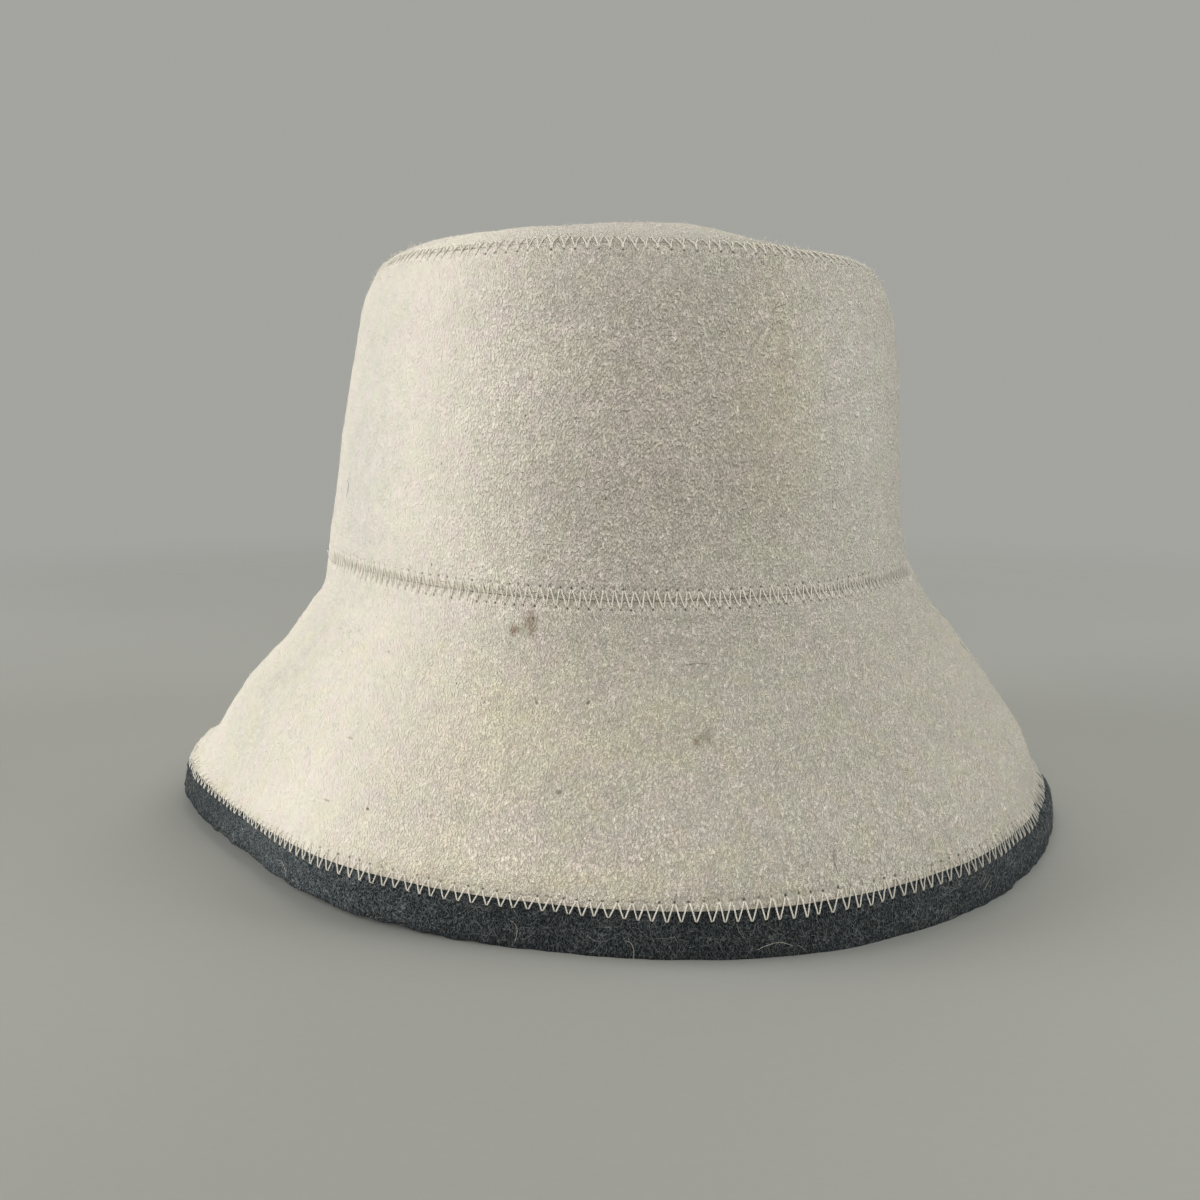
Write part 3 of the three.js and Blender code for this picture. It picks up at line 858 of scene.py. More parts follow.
# ---------------------------------------------------------------- materials
class Nodes:
    """Short names for building one material's nodes."""

    def __init__(self, name):
        self.m = bpy.data.materials.new(name)
        self.m.use_nodes = True
        self.t = self.m.node_tree
        self.t.nodes.clear()
        self.out = self.t.nodes.new("ShaderNodeOutputMaterial")
        self.bsdf = self.t.nodes.new("ShaderNodeBsdfPrincipled")
        self.t.links.new(self.bsdf.outputs[0], self.out.inputs[0])

    def put(self, socket, value):
        if isinstance(value, bpy.types.NodeSocket):
            self.t.links.new(value, socket)
        elif value is not None:
            if socket.type == "RGBA" and len(value) == 3:
                value = (*value, 1.0)
            socket.default_value = value

    def node(self, kind, props=None, **inputs):
        n = self.t.nodes.new("ShaderNode" + kind)
        for k, v in (props or {}).items():
            setattr(n, k, v)
        for k, v in inputs.items():
            self.put(n.inputs[k.replace("_", " ")], v)
        return n

    def math(self, op, a, b=None, c=None, clamp=False):
        n = self.t.nodes.new("ShaderNodeMath")
        n.operation = op
        n.use_clamp = clamp
        for s, v in zip(n.inputs, (a, b, c)):
            self.put(s, v)
        return n.outputs[0]

    def vec(self, op, a, b=None, scale=None):
        n = self.t.nodes.new("ShaderNodeVectorMath")
        n.operation = op
        self.put(n.inputs[0], a)
        if b is not None:
            self.put(n.inputs[1], b)
        if scale is not None:
            n.inputs["Scale"].default_value = scale
        return n.outputs["Value"] if op in ("LENGTH", "DISTANCE", "DOT_PRODUCT") else n.outputs[0]

    def attribute(self, name, kind="Fac"):
        n = self.t.nodes.new("ShaderNodeAttribute")
        n.attribute_name = name
        return n.outputs[kind]

    def noise(self, vector, scale, detail=2.0, rough=0.5, lacunarity=2.0, distort=0.0, colour=False, kind="3D"):
        n = self.node("TexNoise", {"noise_dimensions": kind, "normalize": True}, Scale=scale, Detail=detail, Roughness=rough, Lacunarity=lacunarity, Distortion=distort)
        self.put(n.inputs["Vector"], vector)
        return n.outputs["Color" if colour else "Fac"]

    def remap(self, value, lo, hi, out_lo=0.0, out_hi=1.0, smooth=True):
        n = self.t.nodes.new("ShaderNodeMapRange")
        n.interpolation_type = "SMOOTHSTEP" if smooth else "LINEAR"
        for s, v in zip(n.inputs, (value, lo, hi, out_lo, out_hi)):
            self.put(s, v)
        return n.outputs[0]

    def mix(self, factor, a, b, blend="MIX"):
        n = self.t.nodes.new("ShaderNodeMix")
        n.data_type = "RGBA"
        n.blend_type = blend
        n.clamp_factor = True
        self.put(n.inputs["Factor"], factor)
        self.put(n.inputs["A"], a)
        self.put(n.inputs["B"], b)
        return next(o for o in n.outputs if o.type == "RGBA")

    def grey(self, value):
        n = self.t.nodes.new("ShaderNodeCombineColor")
        for i in range(3):
            self.put(n.inputs[i], value)
        return n.outputs[0]

    def tint(self, colour, value, blend="MULTIPLY"):
        return self.mix(1.0, colour, self.grey(value), blend)

    def bump(self, height, distance, strength=1.0, normal=None):
        n = self.t.nodes.new("ShaderNodeBump")
        n.inputs["Strength"].default_value = strength
        n.inputs["Distance"].default_value = distance
        self.put(n.inputs["Height"], height)
        if normal is not None:
            self.put(n.inputs["Normal"], normal)
        return n.outputs[0]


def srgb(r, g, b):
    return tuple(((c / 255 + 0.055) / 1.055) ** 2.4 if c > 10.31 else c / 255 / 12.92 for c in (r, g, b))


# Marks on the felt: name, share round the hat from the back, along (mm), half width,
# half height (mm), colour (sRGB), strength, how ragged its edge is
MARKS = (
    ("rust spot under the seam", 0.4540, 183.6, 1.5, 1.7, (132, 88, 54), 0.60, 0.8),
    ("olive smear under the seam", 0.4612, 181.6, 2.3, 4.2, (140, 120, 82), 0.55, 0.9),
    # painted shade: a small hole drawn as a dark spot
    ("painted shade of a hole in the smear", 0.4622, 180.4, 0.30, 0.30, (52, 42, 34), 0.90, 0.2),
    ("rust spot on the brim", 0.5205, 213.2, 1.2, 1.7, (134, 92, 60), 0.55, 0.9),
    ("brown spot beside it", 0.5238, 212.0, 2.0, 2.4, (118, 104, 76), 0.45, 1.0),
    ("speck left of front", 0.4664, 203.3, 0.55, 0.7, (84, 78, 66), 0.70, 0.5),
    ("speck at front", 0.4849, 202.6, 0.55, 0.55, (78, 72, 62), 0.72, 0.5),
    ("smudge low at front", 0.4790, 226.0, 0.9, 0.7, (96, 90, 78), 0.55, 0.8),
    ("speck low left", 0.4197, 238.1, 0.55, 0.45, (52, 48, 42), 0.85, 0.2),
    ("bit of straw low left", 0.4024, 239.1, 1.5, 0.35, (104, 88, 62), 0.55, 0.6),
    ("bit of straw left", 0.3994, 221.8, 1.3, 0.35, (150, 134, 104), 0.50, 0.6),
    ("yellow smear at right", 0.5740, 118.0, 2.6, 17.0, (182, 166, 116), 0.16, 1.2),
    ("pale scar under the seam", 0.4520, 188.0, 2.2, 1.0, (232, 228, 214), 0.25, 1.0),
)
# Wide soft tints of the wool, and painted light and shade: share, along, half width, half height, what it multiplies by
WOOL_TINTS_AND_PAINTED_LIGHT = (
    (0.572, 125.0, 17.0, 46.0, (1.02, 1.0, 0.93), 0.9),
    (0.523, 130.0, 34.0, 38.0, (1.01, 0.98, 0.98), 0.9),
    (0.480, 212.0, 46.0, 22.0, (0.975, 0.98, 0.92), 0.9),
    (0.495, 193.0, 34.0, 12.0, (0.97, 0.97, 0.96), 0.9),
    # painted light and shade: these eleven rows make whole regions of the felt brighter or darker
    (0.495, 125.0, 30.0, 52.0, (1.17, 1.17, 1.18), 0.9),
    (0.445, 150.0, 20.0, 62.0, (1.14, 1.14, 1.14), 0.9),
    (0.480, 166.0, 50.0, 15.0, (1.10, 1.10, 1.10), 0.9),
    (0.480, 222.0, 44.0, 44.0, (1.12, 1.11, 1.11), 0.9),
    (0.480, 72.0, 70.0, 16.0, (1.13, 1.15, 1.17), 0.9),
    (0.450, 216.0, 26.0, 26.0, (1.08, 1.07, 1.03), 0.9),
    (0.470, 246.0, 56.0, 12.0, (1.19, 1.18, 1.12), 0.9),
    (0.350, 140.0, 22.0, 60.0, (0.86, 0.88, 0.90), 0.9),
    (0.335, 215.0, 30.0, 44.0, (0.84, 0.86, 0.85), 0.9),
    (0.600, 114.0, 24.0, 34.0, (1.12, 1.12, 1.13), 0.9),
    (0.640, 130.0, 24.0, 50.0, (1.10, 1.12, 1.14), 0.9),
    # the wool's own tints again
    (0.640, 150.0, 22.0, 30.0, (0.985, 0.995, 0.98), 0.9),
    (0.180, 130.0, 36.0, 30.0, (1.0, 0.985, 0.95), 0.8),
    (0.860, 210.0, 50.0, 22.0, (0.985, 0.985, 0.95), 0.8),
    (0.060, 140.0, 20.0, 30.0, (1.0, 0.985, 0.985), 0.8),
)


def patch_distance(k, share, along, half_w, half_h, ragged=0.0, noise=None):
    """0 in the middle of an oval patch, 1 at its edge."""
    length = float(np.interp(along, (0, 83.5, 175, 254), (1, RINGS["crown"][1], RINGS["middle"][1], RINGS["edge"][1])))
    off = k.vec("SUBTRACT", k.attribute("place", "Vector"), (share, along, 0.0))
    off = k.vec("MULTIPLY", off, (length / half_w, 1.0 / half_h, 0.0))
    d = k.vec("LENGTH", off)
    if ragged:
        d = k.math("ADD", d, k.math("MULTIPLY", k.math("SUBTRACT", noise, 0.5), ragged * 2.4))
    return d


def needle_holes(k):
    """1 inside a needle hole, 0 outside."""
    xyz = k.node("SeparateXYZ", None, Vector=k.attribute("stitch", "Vector"))
    phase, up, low = xyz.outputs
    found = None
    for shift, row, size in ((0.0, up, 1.0), (0.5, low, 1.0)):
        p = k.math("SUBTRACT", phase, shift)
        whole = k.math("ROUND", p)
        x = k.math("MULTIPLY", k.math("SUBTRACT", p, whole), 2.95)
        d = k.math("SQRT", k.math("ADD", k.math("MULTIPLY", x, x), k.math("MULTIPLY", k.math("MULTIPLY", row, row), 0.8)))
        luck = k.node("TexWhiteNoise", {"noise_dimensions": "1D"}, W=k.math("ADD", whole, shift * 777.0)).outputs["Value"]
        spot = k.math("MULTIPLY", k.remap(d, 0.40, 0.14), k.remap(luck, 0.0, 0.5, 0.35, 1.0, False))
        found = spot if found is None else k.math("MAXIMUM", found, spot)
    return found


def felt_material(name, dark=False):
    k = Nodes(name)
    mm = k.vec("SCALE", k.node("TexCoord").outputs["Object"], scale=1000.0)
    flat = k.attribute("flat", "Vector")
    inside = k.attribute("inside")
    cut = k.attribute("cut")
    share, along, _ = k.node("SeparateXYZ", None, Vector=k.attribute("place", "Vector")).outputs
    # painted shade in the needle holes, made fainter round the left of the front, which faces the main light
    closed = k.math("ADD", k.remap(share, 0.37, 0.45, 0.30, 1.0), k.remap(share, 0.32, 0.10, 0.0, 0.70))
    hole = k.math("MULTIPLY", needle_holes(k), closed)
    # how strong the nap's bumps and its painted shading are: least at the left, most at the front, where the light
    # grazes the felt
    rough = k.math("ADD", k.remap(share, 0.39, 0.51, 0.42, 2.00), k.remap(share, 0.32, 0.06, 0.0, 0.98))
    rough = k.math("ADD", rough, k.math("ADD", k.remap(share, 0.55, 0.68, 0.0, -0.15), k.remap(share, 0.78, 0.97, 0.0, -0.45)))
    rough = k.math("ADD", 1.0, k.math("MULTIPLY", k.math("SUBTRACT", rough, 1.0), k.remap(along, 36.0, 84.0)))
    rough = k.math("MULTIPLY", rough, k.math("SUBTRACT", 1.0, k.math("MULTIPLY", inside, 0.5)))

    big = k.noise(mm, 0.030, 2.0, 0.5)
    blotch = k.noise(mm, 0.16, 3.0, 0.55)
    hue = k.noise(k.vec("ADD", mm, (37.0, 11.0, 5.0)), 0.13, 3.0, 0.65)
    hue2 = k.noise(k.vec("ADD", mm, (-57.0, 71.0, 25.0)), 0.30, 2.0, 0.6)
    grain = k.noise(k.vec("ADD", mm, (3.0, 7.0, 1.0)), 1.5, 1.0, 0.5)
    # a tangle of thin curled fibres: the thin lines along which each of three noises is level
    tangle = None
    for i, turn in enumerate((0, 22, -20)):
        along_it = k.node("VectorRotate", {"rotation_type": "Z_AXIS"}, Vector=k.vec("ADD", flat, (17.3 * i, 31.7 * i, 5.1 * i)), Angle=math.radians(turn)).outputs[0]
        level = k.noise(k.vec("MULTIPLY", along_it, (1.7, 0.9, 1.0) if dark else (1.15, 0.48, 1.0)), 1.0, 0.0, 0.5)
        line = k.remap(k.math("ABSOLUTE", k.math("SUBTRACT", level, 0.5)), 0.115, 0.0)
        tangle = line if tangle is None else k.math("ADD", tangle, line)
    # the nap runs up and down, and a few longer fibres cross it
    nap = k.noise(k.vec("MULTIPLY", flat, (2.3, 1.2, 1.0)), 1.0, 0.0, 0.5)
    level = k.noise(k.vec("MULTIPLY", k.vec("ADD", flat, (71.0, 13.0, 2.0)), (0.36, 0.30, 1.0)), 1.0, 1.0, 0.6)
    sparse = k.remap(k.noise(k.vec("ADD", flat, (5.0, 91.0, 2.0)), 0.35, 1.0, 0.5), 0.50, 0.62)
    strand = k.math("MULTIPLY", k.remap(k.math("ABSOLUTE", k.math("SUBTRACT", level, 0.5)), 0.014, 0.003), sparse)

    if dark:
        base = k.mix(k.remap(big, 0.3, 0.7), srgb(37, 43, 46), srgb(44, 50, 51))
        base = k.mix(k.math("MULTIPLY", k.remap(blotch, 0.46, 0.66), 0.35), base, srgb(60, 60, 54))
        base = k.mix(k.math("MULTIPLY", k.remap(tangle, 0.7, 1.9), 0.78), base, srgb(106, 112, 113))
        base = k.mix(k.math("MULTIPLY", k.remap(tangle, 0.6, 0.0), 0.8), base, srgb(14, 17, 20))
        base = k.mix(k.math("MULTIPLY", strand, 0.6), base, srgb(132, 138, 136))
        # paler round the left of the front, painted light on the side that faces the lamps, and darker along the free
        # hem, painted shadow where it meets the floor
        lit_side_pale = k.remap(k.math("ABSOLUTE", k.math("SUBTRACT", share, 0.385)), 0.105, 0.0)
        base = k.tint(base, k.math("ADD", 1.0, k.math("MULTIPLY", lit_side_pale, 1.0)))
        # painted shadow along the free hem
        base = k.tint(base, k.remap(along, 262.3, 264.4, 1.0, 0.72))
    else:
        base = k.mix(k.remap(hue, 0.36, 0.64), srgb(231, 220, 208), srgb(228, 222, 203))
        base = k.mix(k.math("MULTIPLY", k.remap(hue2, 0.46, 0.70), 0.55), base, srgb(221, 218, 202))
        base = k.tint(base, k.remap(big, 0.25, 0.75, 0.97, 1.03, False))
        # the brim is mottled yellow where hands and steam have reached it
        mottle = k.math("MULTIPLY", k.remap(blotch, 0.48, 0.68), k.remap(along, 180.0, 196.0, 0.0, 0.5))
        base = k.mix(mottle, base, k.mix(1.0, base, (0.985, 0.965, 0.86), "MULTIPLY"))
        base = k.tint(base, k.remap(blotch, 0.25, 0.75, 0.96, 1.03, False))
        # the fibres' tone: grain, and painted shading of the nap, which rough makes strongest at the front
        shade = k.math("ADD", k.remap(tangle, 0.0, 2.1, -0.060, 0.060, False), k.remap(nap, 0.25, 0.75, -0.040, 0.040, False))
        base = k.tint(base, k.math("ADD", 1.0, k.math("MULTIPLY", shade, rough)))
        base = k.mix(k.math("MULTIPLY", strand, 0.25), base, srgb(242, 239, 228))
        shown = k.math("SUBTRACT", 1.0, inside)
        # the wool's tints and the painted light and shade of the table
        for share, along_mm, hw, hh, factor, strength in WOOL_TINTS_AND_PAINTED_LIGHT:
            d = patch_distance(k, share, along_mm, hw, hh)
            f = k.math("MULTIPLY", k.remap(d, 1.25, 0.1), k.remap(hue2, 0.35, 0.65, strength * 0.6, strength))
            base = k.mix(k.math("MULTIPLY", f, shown), base, k.mix(1.0, base, factor, "MULTIPLY"))
        ragged = k.noise(mm, 0.75, 3.0, 0.7)
        for _, share, along_mm, hw, hh, colour, strength, edge in MARKS:
            d = patch_distance(k, share, along_mm, hw, hh, edge, ragged)
            f = k.math("MULTIPLY", k.remap(d, 1.3, 0.2), strength)
            base = k.mix(k.math("MULTIPLY", f, shown), base, srgb(*colour))
        # bits of straw and dark wool caught in the felt
        cells = k.node("TexVoronoi", {"voronoi_dimensions": "3D", "feature": "F1"}, Vector=k.vec("MULTIPLY", flat, (1.0, 0.6, 1.0)), Scale=0.25, Randomness=1.0)
        pick = k.node("SeparateColor", None, Color=cells.outputs["Color"])
        bit = k.math("MULTIPLY", k.remap(cells.outputs["Distance"], 0.085, 0.035), k.math("GREATER_THAN", pick.outputs[0], 0.66))
        bit = k.math("MULTIPLY", bit, k.remap(pick.outputs[2], 0.0, 1.0, 0.15, 0.65, False))
        base = k.mix(bit, base, k.mix(pick.outputs[1], srgb(104, 86, 60), srgb(78, 76, 72)))
        # worn and handled: a little dust low on the brim and along the corner of the crown
        low = k.math("MULTIPLY", k.remap(along, 240.0, 254.0), k.remap(blotch, 0.42, 0.62))
        base = k.mix(k.math("MULTIPLY", low, 0.12), base, srgb(160, 152, 130))
        corner = k.math("MULTIPLY", k.remap(k.math("ABSOLUTE", k.math("SUBTRACT", along, 88.0)), 7.0, 1.0), k.remap(blotch, 0.45, 0.62))
        base = k.mix(k.math("MULTIPLY", corner, 0.14), base, srgb(170, 160, 140))
        base = k.mix(k.math("MULTIPLY", inside, 0.20), base, srgb(190, 180, 156))
    # painted shade: the needle holes are darkened
    base = k.tint(base, k.math("SUBTRACT", 1.0, k.math("MULTIPLY", hole, 0.78)))
    base = k.tint(base, k.math("ADD", 1.0, k.math("MULTIPLY", cut, k.math("MULTIPLY", k.math("SUBTRACT", grain, 0.42), 0.7))))

    k.put(k.bsdf.inputs["Base Color"], base)
    k.put(k.bsdf.inputs["Roughness"], k.remap(grain, 0.2, 0.8, 0.88, 1.0, False))
    k.bsdf.inputs["Specular IOR Level"].default_value = 0.12
    k.bsdf.inputs["Sheen Weight"].default_value = 0.22 if not dark else 0.12
    k.bsdf.inputs["Sheen Roughness"].default_value = 0.5
    k.bsdf.inputs["Sheen Tint"].default_value = (*srgb(232, 228, 214), 1) if not dark else (*srgb(160, 170, 172), 1)
    height = k.math("ADD", k.math("MULTIPLY", tangle, 0.20 if not dark else 0.26), k.math("MULTIPLY", nap, 0.74))
    height = k.math("ADD", height, k.math("MULTIPLY", grain, 0.10))
    height = k.math("ADD", height, k.math("MULTIPLY", strand, 0.05))
    height = k.math("MULTIPLY", height, rough if not dark else 1.0)
    height = k.math("SUBTRACT", height, k.math("MULTIPLY", hole, 0.35))
    k.put(k.bsdf.inputs["Normal"], k.bump(height, 0.0010, 1.0))
    return k.m


def thread_material():
    k = Nodes("thread")
    uv = k.node("UVMap", {"uv_map": "thread"}).outputs[0]
    place = k.vec("SCALE", k.node("TexCoord").outputs["Object"], scale=1000.0)
    xy = k.node("SeparateXYZ", None, Vector=uv)
    turn = k.math("MULTIPLY", xy.outputs[1], 2 * math.pi * 2)
    run = k.math("MULTIPLY", xy.outputs[0], 2 * math.pi / 0.62)
    ply = k.math("SINE", k.math("ADD", run, turn))
    tone = k.noise(place, 0.7, 2.0, 0.5)
    base = k.mix(k.remap(ply, -0.9, 0.5), srgb(212, 206, 190), srgb(238, 234, 222))
    base = k.tint(base, k.remap(tone, 0.3, 0.7, 0.93, 1.02, False))
    # painted shade: the thread is darker towards the right end of the oval
    across = k.node("SeparateXYZ", None, Vector=place).outputs[0]
    base = k.tint(base, k.remap(across, 45.0, 92.0, 1.0, 0.62))
    k.put(k.bsdf.inputs["Base Color"], base)
    k.put(k.bsdf.inputs["Roughness"], k.remap(tone, 0.2, 0.8, 0.36, 0.50, False))
    k.bsdf.inputs["Specular IOR Level"].default_value = 0.3
    k.bsdf.inputs["Sheen Weight"].default_value = 0.1
    k.put(k.bsdf.inputs["Normal"], k.bump(ply, 0.00003, 0.6))
    return k.m


def hair_material(name, low, high, rough=0.6):
    k = Nodes(name)
    tone = k.attribute("tone")
    place = k.vec("SCALE", k.node("TexCoord").outputs["Object"], scale=1000.0)
    n = k.noise(place, 0.8, 1.0, 0.5)
    base = k.mix(tone, srgb(*low), srgb(*high))
    base = k.tint(base, k.remap(n, 0.3, 0.7, 0.93, 1.06, False))
    k.put(k.bsdf.inputs["Base Color"], base)
    k.put(k.bsdf.inputs["Roughness"], k.remap(n, 0.2, 0.8, rough, rough + 0.2, False))
    k.bsdf.inputs["Sheen Weight"].default_value = 0.3
    return k.m


CREAM = felt_material("cream_wool_felt")
CHARCOAL = felt_material("charcoal_wool_felt", dark=True)
THREAD = thread_material()
PALE_HAIR = hair_material("pale_wool_hair", (206, 198, 180), (240, 234, 220))
GREY_HAIR = hair_material("grey_wool_hair", (44, 46, 47), (168, 168, 162))
DARK_HAIR = hair_material("dark_stray_hair", (58, 48, 40), (92, 78, 62), 0.4)

# ---------------------------------------------------------------- the hat
felt_piece("felt_crown_top", "crown_top",
           profile(0, 83.5, 480, 1, 3, 1.2, disc=True), True, 0.0, CREAM)
felt_piece("felt_crown_side", "crown_side",
           profile(83.5, 175.0, 450, 3, 3, 1.3), False, 0.0, CREAM)
felt_piece("felt_brim", "brim",
           profile(175.0, 254.0, 560, 3, 3, 1.4), False, 1.0, CREAM)
felt_piece("felt_edge_band", "edge_band",
           profile(254.0, 265.5, 600, 3, 1, 1.1, hem=True), False, 1.0, CHARCOAL)

for key, seed in (("crown", 51), ("middle", 52), ("edge", 53)):
    add_piece("stitches_%s_seam" % key, zigzag_round(key, seed), THREAD)
add_piece("stitches_inside", [x for i, key in enumerate(HOLES) for x in zigzag_round(key, 61 + i, inside=True)], THREAD)
BACK_RUNS = ((87.4, 171.2), (178.8, 250.4))  # the short joint of the band is only butted
add_piece("stitches_back_seams",
          [x for i, (a, b) in enumerate(BACK_RUNS) for x in zigzag_upright(a, b, 71 + i)]
          + [x for i, (a, b) in enumerate(BACK_RUNS) for x in zigzag_upright(a, b, 81 + i, inside=True)],
          THREAD)


def fuzz_piece(name, groups, material, seed):
    v, q, t, u = join(groups)
    tone = rng(seed).uniform(0, 1, len(v) // 7 + 1)[np.arange(len(v)) // 7]
    ob = make_mesh(name, v, q, t, None, {"tone": tone})
    ob.data.materials.append(material)
    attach(ob, "root")
    TRIANGLES[name] = 2 * len(q) + len(t)
    return ob


fuzz_piece("fuzz_crown", [fuzz(1, 83, 2200, 101, radius=(0.028, 0.050)), fuzz(80, 174.5, 4200, 102, radius=(0.026, 0.044)), fuzz(74, 90, 1450, 103, lean=(30, 80), length=(1.0, 2.8), radius=(0.038, 0.060))], PALE_HAIR, 111)
fuzz_piece("fuzz_brim", [fuzz(175.5, 253.5, 5600, 104, radius=(0.026, 0.044)), fuzz(252.0, 253.9, 500, 105, lean=(20, 65), length=(0.6, 1.6), radius=(0.030, 0.050))], PALE_HAIR, 112)
fuzz_piece("fuzz_edge_band", [fuzz(254.4, 265.2, 2600, 106, lean=(5, 35)), fuzz(263.5, 265.3, 700, 107, lean=(10, 60), length=(0.6, 1.5))], GREY_HAIR, 113)
fuzz_piece("curls_edge_band", [curls(254.5, 265.0, 1500, 116)], GREY_HAIR, 117)
fuzz_piece("fuzz_inside", [fuzz(2, 253, 1700, 108, inside=True)], PALE_HAIR, 114)


def stray(share, along, heading, length, curl, radius, seed, **more):
    return lying_hair(along, float(bearing_at(np.array(share), np.array(along))), heading, length, curl, radius, seed, **more)


# Hairs caught in the felt: share, along (mm), heading (0 round to the right, 90 down), length (mm), curl, radius
DARK_STRAYS = (
    (0.5682, 102.0, -40, 5.6, 0.02, 0.055), (0.5700, 100.6, -30, 3.6, -0.05, 0.045),
    (0.5999, 120.6, 122, 4.6, -0.19, 0.055), (0.5186, 193.0, -34, 8.8, 0.13, 0.050),
    (0.5562, 243.0, 112, 6.6, -0.14, 0.050), (0.4985, 193.6, -25, 2.8, 0.30, 0.040),
    (0.3320, 150.0, 70, 5.5, 0.16, 0.045), (0.1260, 131.0, 20, 7.5, 0.12, 0.045),
    (0.0840, 214.0, 130, 6.5, -0.16, 0.050), (0.9100, 118.0, 50, 6.0, 0.18, 0.045),
    (0.8300, 226.0, -15, 7.0, -0.13, 0.050), (0.7400, 142.0, 80, 5.0, 0.22, 0.045),
    (0.7000, 205.0, 30, 5.5, 0.20, 0.045), (0.2400, 236.0, 10, 6.0, 0.17, 0.045),
    (0.4300, 52.0, 35, 6.5, 0.15, 0.045), (0.1500, 40.0, 60, 5.5, -0.18, 0.045),
)
PALE_STRAYS = (
    (0.5322, 262.4, -36, 8.8, 0.05, 0.050), (0.4700, 259.0, 20, 6.0, 0.25, 0.045), (0.6100, 258.5, 60, 5.0, 0.30, 0.045),
    (0.3900, 260.5, -20, 7.0, 0.22, 0.045), (0.2300, 259.5, 30, 7.0, -0.20, 0.045), (0.0700, 260.0, 15, 8.0, 0.18, 0.045),
    (0.8700, 259.0, -30, 7.0, 0.20, 0.045), (0.7300, 261.0, 10, 6.0, -0.25, 0.045), (0.5000, 260.8, 0, 5.0, 0.35, 0.045),
    (0.3600, 168.0, 160, 5.0, 0.20, 0.040), (0.4100, 196.0, 40, 6.0, -0.20, 0.040), (0.6600, 232.0, 20, 6.0, 0.20, 0.040),
)
add_piece("stray_dark_hairs", [stray(*row, 131 + i) for i, row in enumerate(DARK_STRAYS)], DARK_HAIR)
add_piece("stray_pale_hairs", [stray(*row, 161 + i, lift=0.10, up=0.5) for i, row in enumerate(PALE_STRAYS)], PALE_HAIR)


def loose_end(share, along, heading, length, curl, seed, stand):
    """The end of a seam thread that stands off the felt."""
    points = 12
    r = rng(seed)
    u = np.linspace(0, 1, points)
    th0 = float(bearing_at(np.array(share), np.array(along)))
    ang = math.radians(heading) + curl * u * length
    t = along + np.concatenate([[0], np.cumsum(np.sin(ang[:-1]))]) * length / (points - 1)
    c = columns(np.array([along]))[0]
    rad = math.hypot(c[2] * math.sin(th0), c[3] * math.cos(th0))
    th = th0 + np.concatenate([[0], np.cumsum(np.cos(ang[:-1]))]) * length / (points - 1) / rad
    f = share_at(th, t)
    nn = normals(t, th)
    lift = outer_height(t, f, th) - 0.35 * (1 - u) ** 8 + THREAD_R * 0.8 + stand * u**1.3 + 0.05 * r.normal(size=points) * u
    return tubes(skin(t, th, lift, nn)[None], nn[None], np.full((1, points), THREAD_R * 0.9), 6)


# where the seams were started and finished, and one pulled stitch at the left
LOOSE = (
    (0.2905, 176.6, 200, 2.6, 0.10, 1.0),
    (0.0035, 177.4, 70, 5.5, 0.16, 0.5), (0.9972, 177.6, 105, 4.2, -0.22, 0.7),
    (0.0040, 86.2, 80, 4.4, -0.20, 0.5), (0.9965, 86.0, 100, 3.4, 0.25, 0.6),
)
add_piece("loose_thread_ends", [loose_end(*row[:5], 191 + i, row[5]) for i, row in enumerate(LOOSE)], THREAD)

# ---------------------------------------------------------------- floor, backdrop and light
def stage_material(name, colour):
    k = Nodes(name)
    place = k.vec("SCALE", k.node("TexCoord").outputs["Object"], scale=1000.0)
    soft = k.noise(place, 0.006, 3.0, 0.5)
    grain = k.noise(place, 0.5, 2.0, 0.5)
    base = k.tint(srgb(*colour), k.remap(soft, 0.3, 0.7, 0.985, 1.015, False))
    base = k.tint(base, k.remap(grain, 0.3, 0.7, 0.992, 1.008, False))
    k.put(k.bsdf.inputs["Base Color"], base)
    k.bsdf.inputs["Roughness"].default_value = 0.95
    k.bsdf.inputs["Specular IOR Level"].default_value = 0.2
    far = k.vec("LENGTH", k.vec("MULTIPLY", place, (1.0, 1.0, 0.0)))
    clear = k.node("BsdfTransparent")
    blend = k.node("MixShader", None)
    k.put(blend.inputs[0], k.remap(far, 330.0, 900.0))
    k.t.links.new(k.bsdf.outputs[0], blend.inputs[1])
    k.t.links.new(clear.outputs[0], blend.inputs[2])
    k.t.links.new(blend.outputs[0], k.out.inputs[0])
    return k.m


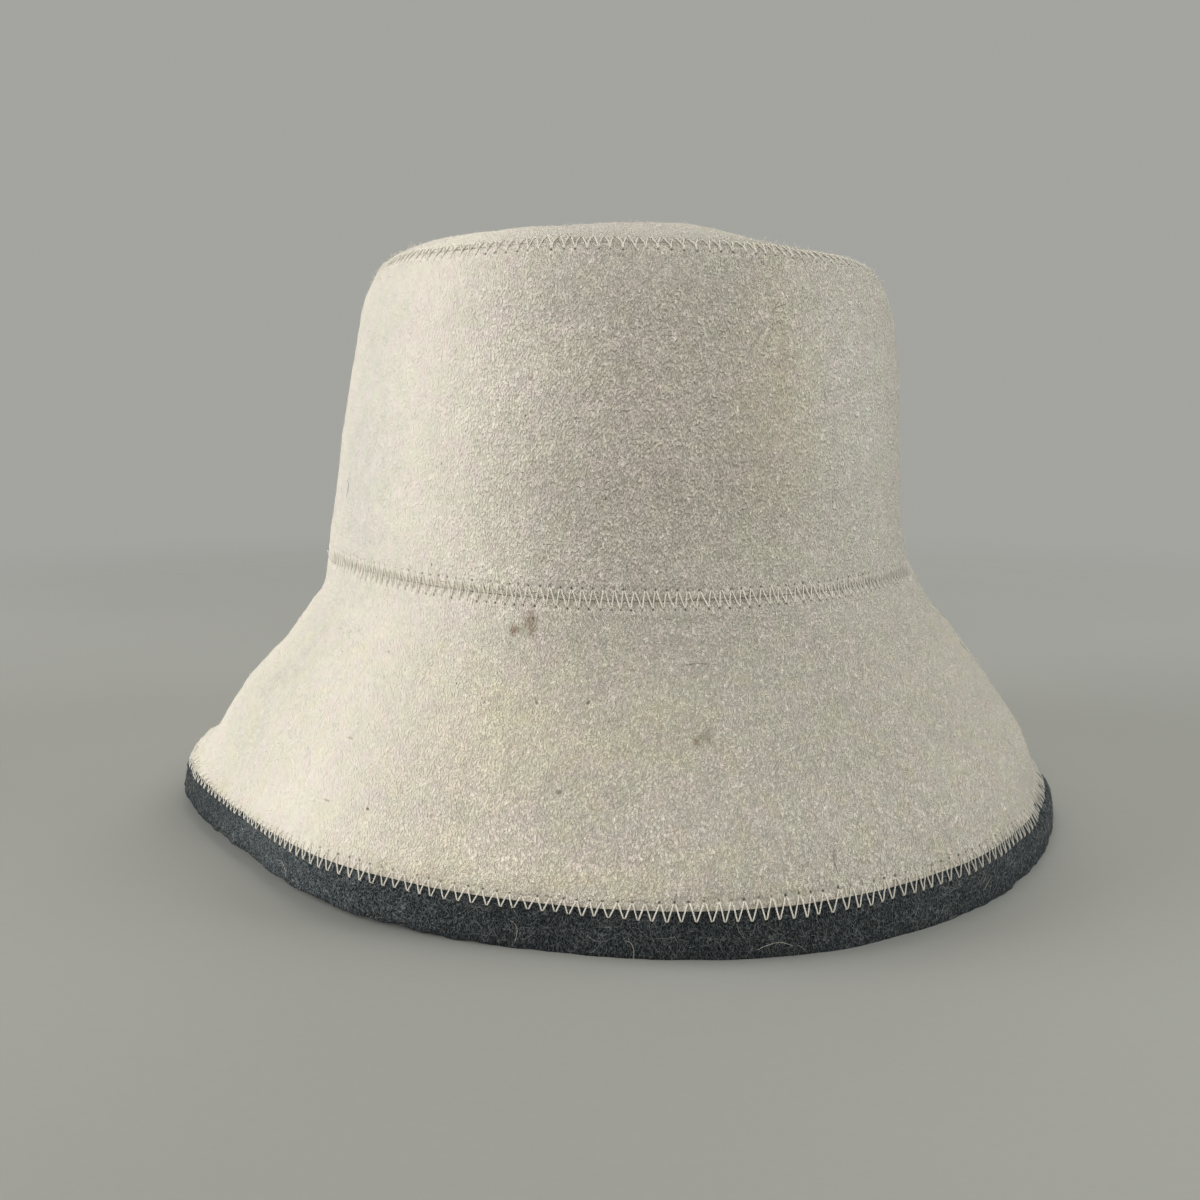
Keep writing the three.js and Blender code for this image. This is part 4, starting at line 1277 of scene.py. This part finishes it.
def floor():
    """A plain round floor, mm, which fades into the plain backdrop far from the hat."""
    spokes, reach = 96, 1300.0
    turn = np.arange(spokes) * 2 * math.pi / spokes
    v = [(0.0, 0.0, 0.0)] + [(reach * math.cos(a), reach * math.sin(a), 0.0) for a in turn]
    i = np.arange(spokes)
    tris = np.stack([np.zeros(spokes, int), 1 + i, 1 + (i + 1) % spokes], 1)
    ob = make_mesh("floor", np.array(v), np.zeros((0, 4), int), tris)
    ob.data.materials.append(stage_material("plain_floor", (157, 157, 151)))
    return ob


floor()


def area(name, where, target, size, power, colour=(1, 1, 1)):
    data = bpy.data.lights.new(name, "AREA")
    data.shape = "RECTANGLE"
    data.size, data.size_y = size
    data.energy = power
    data.color = colour
    ob = bpy.data.objects.new(name, data)
    bpy.context.scene.collection.objects.link(ob)
    ob.location = where
    ob.rotation_mode = "QUATERNION"
    ob.rotation_quaternion = (Vector(target) - Vector(where)).to_track_quat("-Z", "Y")
    ob.visible_camera = False
    return ob


LIGHTS = (
    ("window_left", (-1.3, -0.1, 0.45), (0, 0, 0.09), (0.9, 0.9), 16.6, (0.975, 1.0, 1.03)),
    ("fill_front", (0.0, -1.7, 0.8), (0, 0, 0.09), (1.2, 0.8), 17.2, (1.035, 1.0, 0.975)),
    ("top", (0.0, 0.25, 1.4), (0, 0, 0.09), (1.2, 1.2), 7.0, (1.02, 1.0, 0.92)),
    ("fill_right", (1.3, -0.1, 0.5), (0, 0, 0.09), (0.9, 0.9), 12.4, (0.94, 1.0, 1.03)),
    ("back", (0.3, 1.5, 0.8), (0, 0, 0.09), (1.0, 1.0), 7.5, (1.0, 1.0, 0.98)),
)
for row in LIGHTS:
    area(*row)
world = bpy.data.worlds.new("studio")
world.use_nodes = True
tree = world.node_tree
light = tree.nodes["Background"]
light.inputs[0].default_value = (0.86, 0.90, 0.93, 1)
light.inputs[1].default_value = 0.02
seen = tree.nodes.new("ShaderNodeBackground")
seen.inputs[0].default_value = (0.372, 0.372, 0.350, 1)
seen.inputs[1].default_value = 1.0
rays = tree.nodes.new("ShaderNodeLightPath")
choose = tree.nodes.new("ShaderNodeMixShader")
tree.links.new(rays.outputs["Is Camera Ray"], choose.inputs[0])
tree.links.new(light.outputs[0], choose.inputs[1])
tree.links.new(seen.outputs[0], choose.inputs[2])
tree.links.new(choose.outputs[0], tree.nodes["World Output"].inputs["Surface"])
bpy.context.scene.world = world
bpy.context.scene.view_settings.view_transform = "Standard"

print("triangles", TRIANGLES, sum(TRIANGLES.values()))
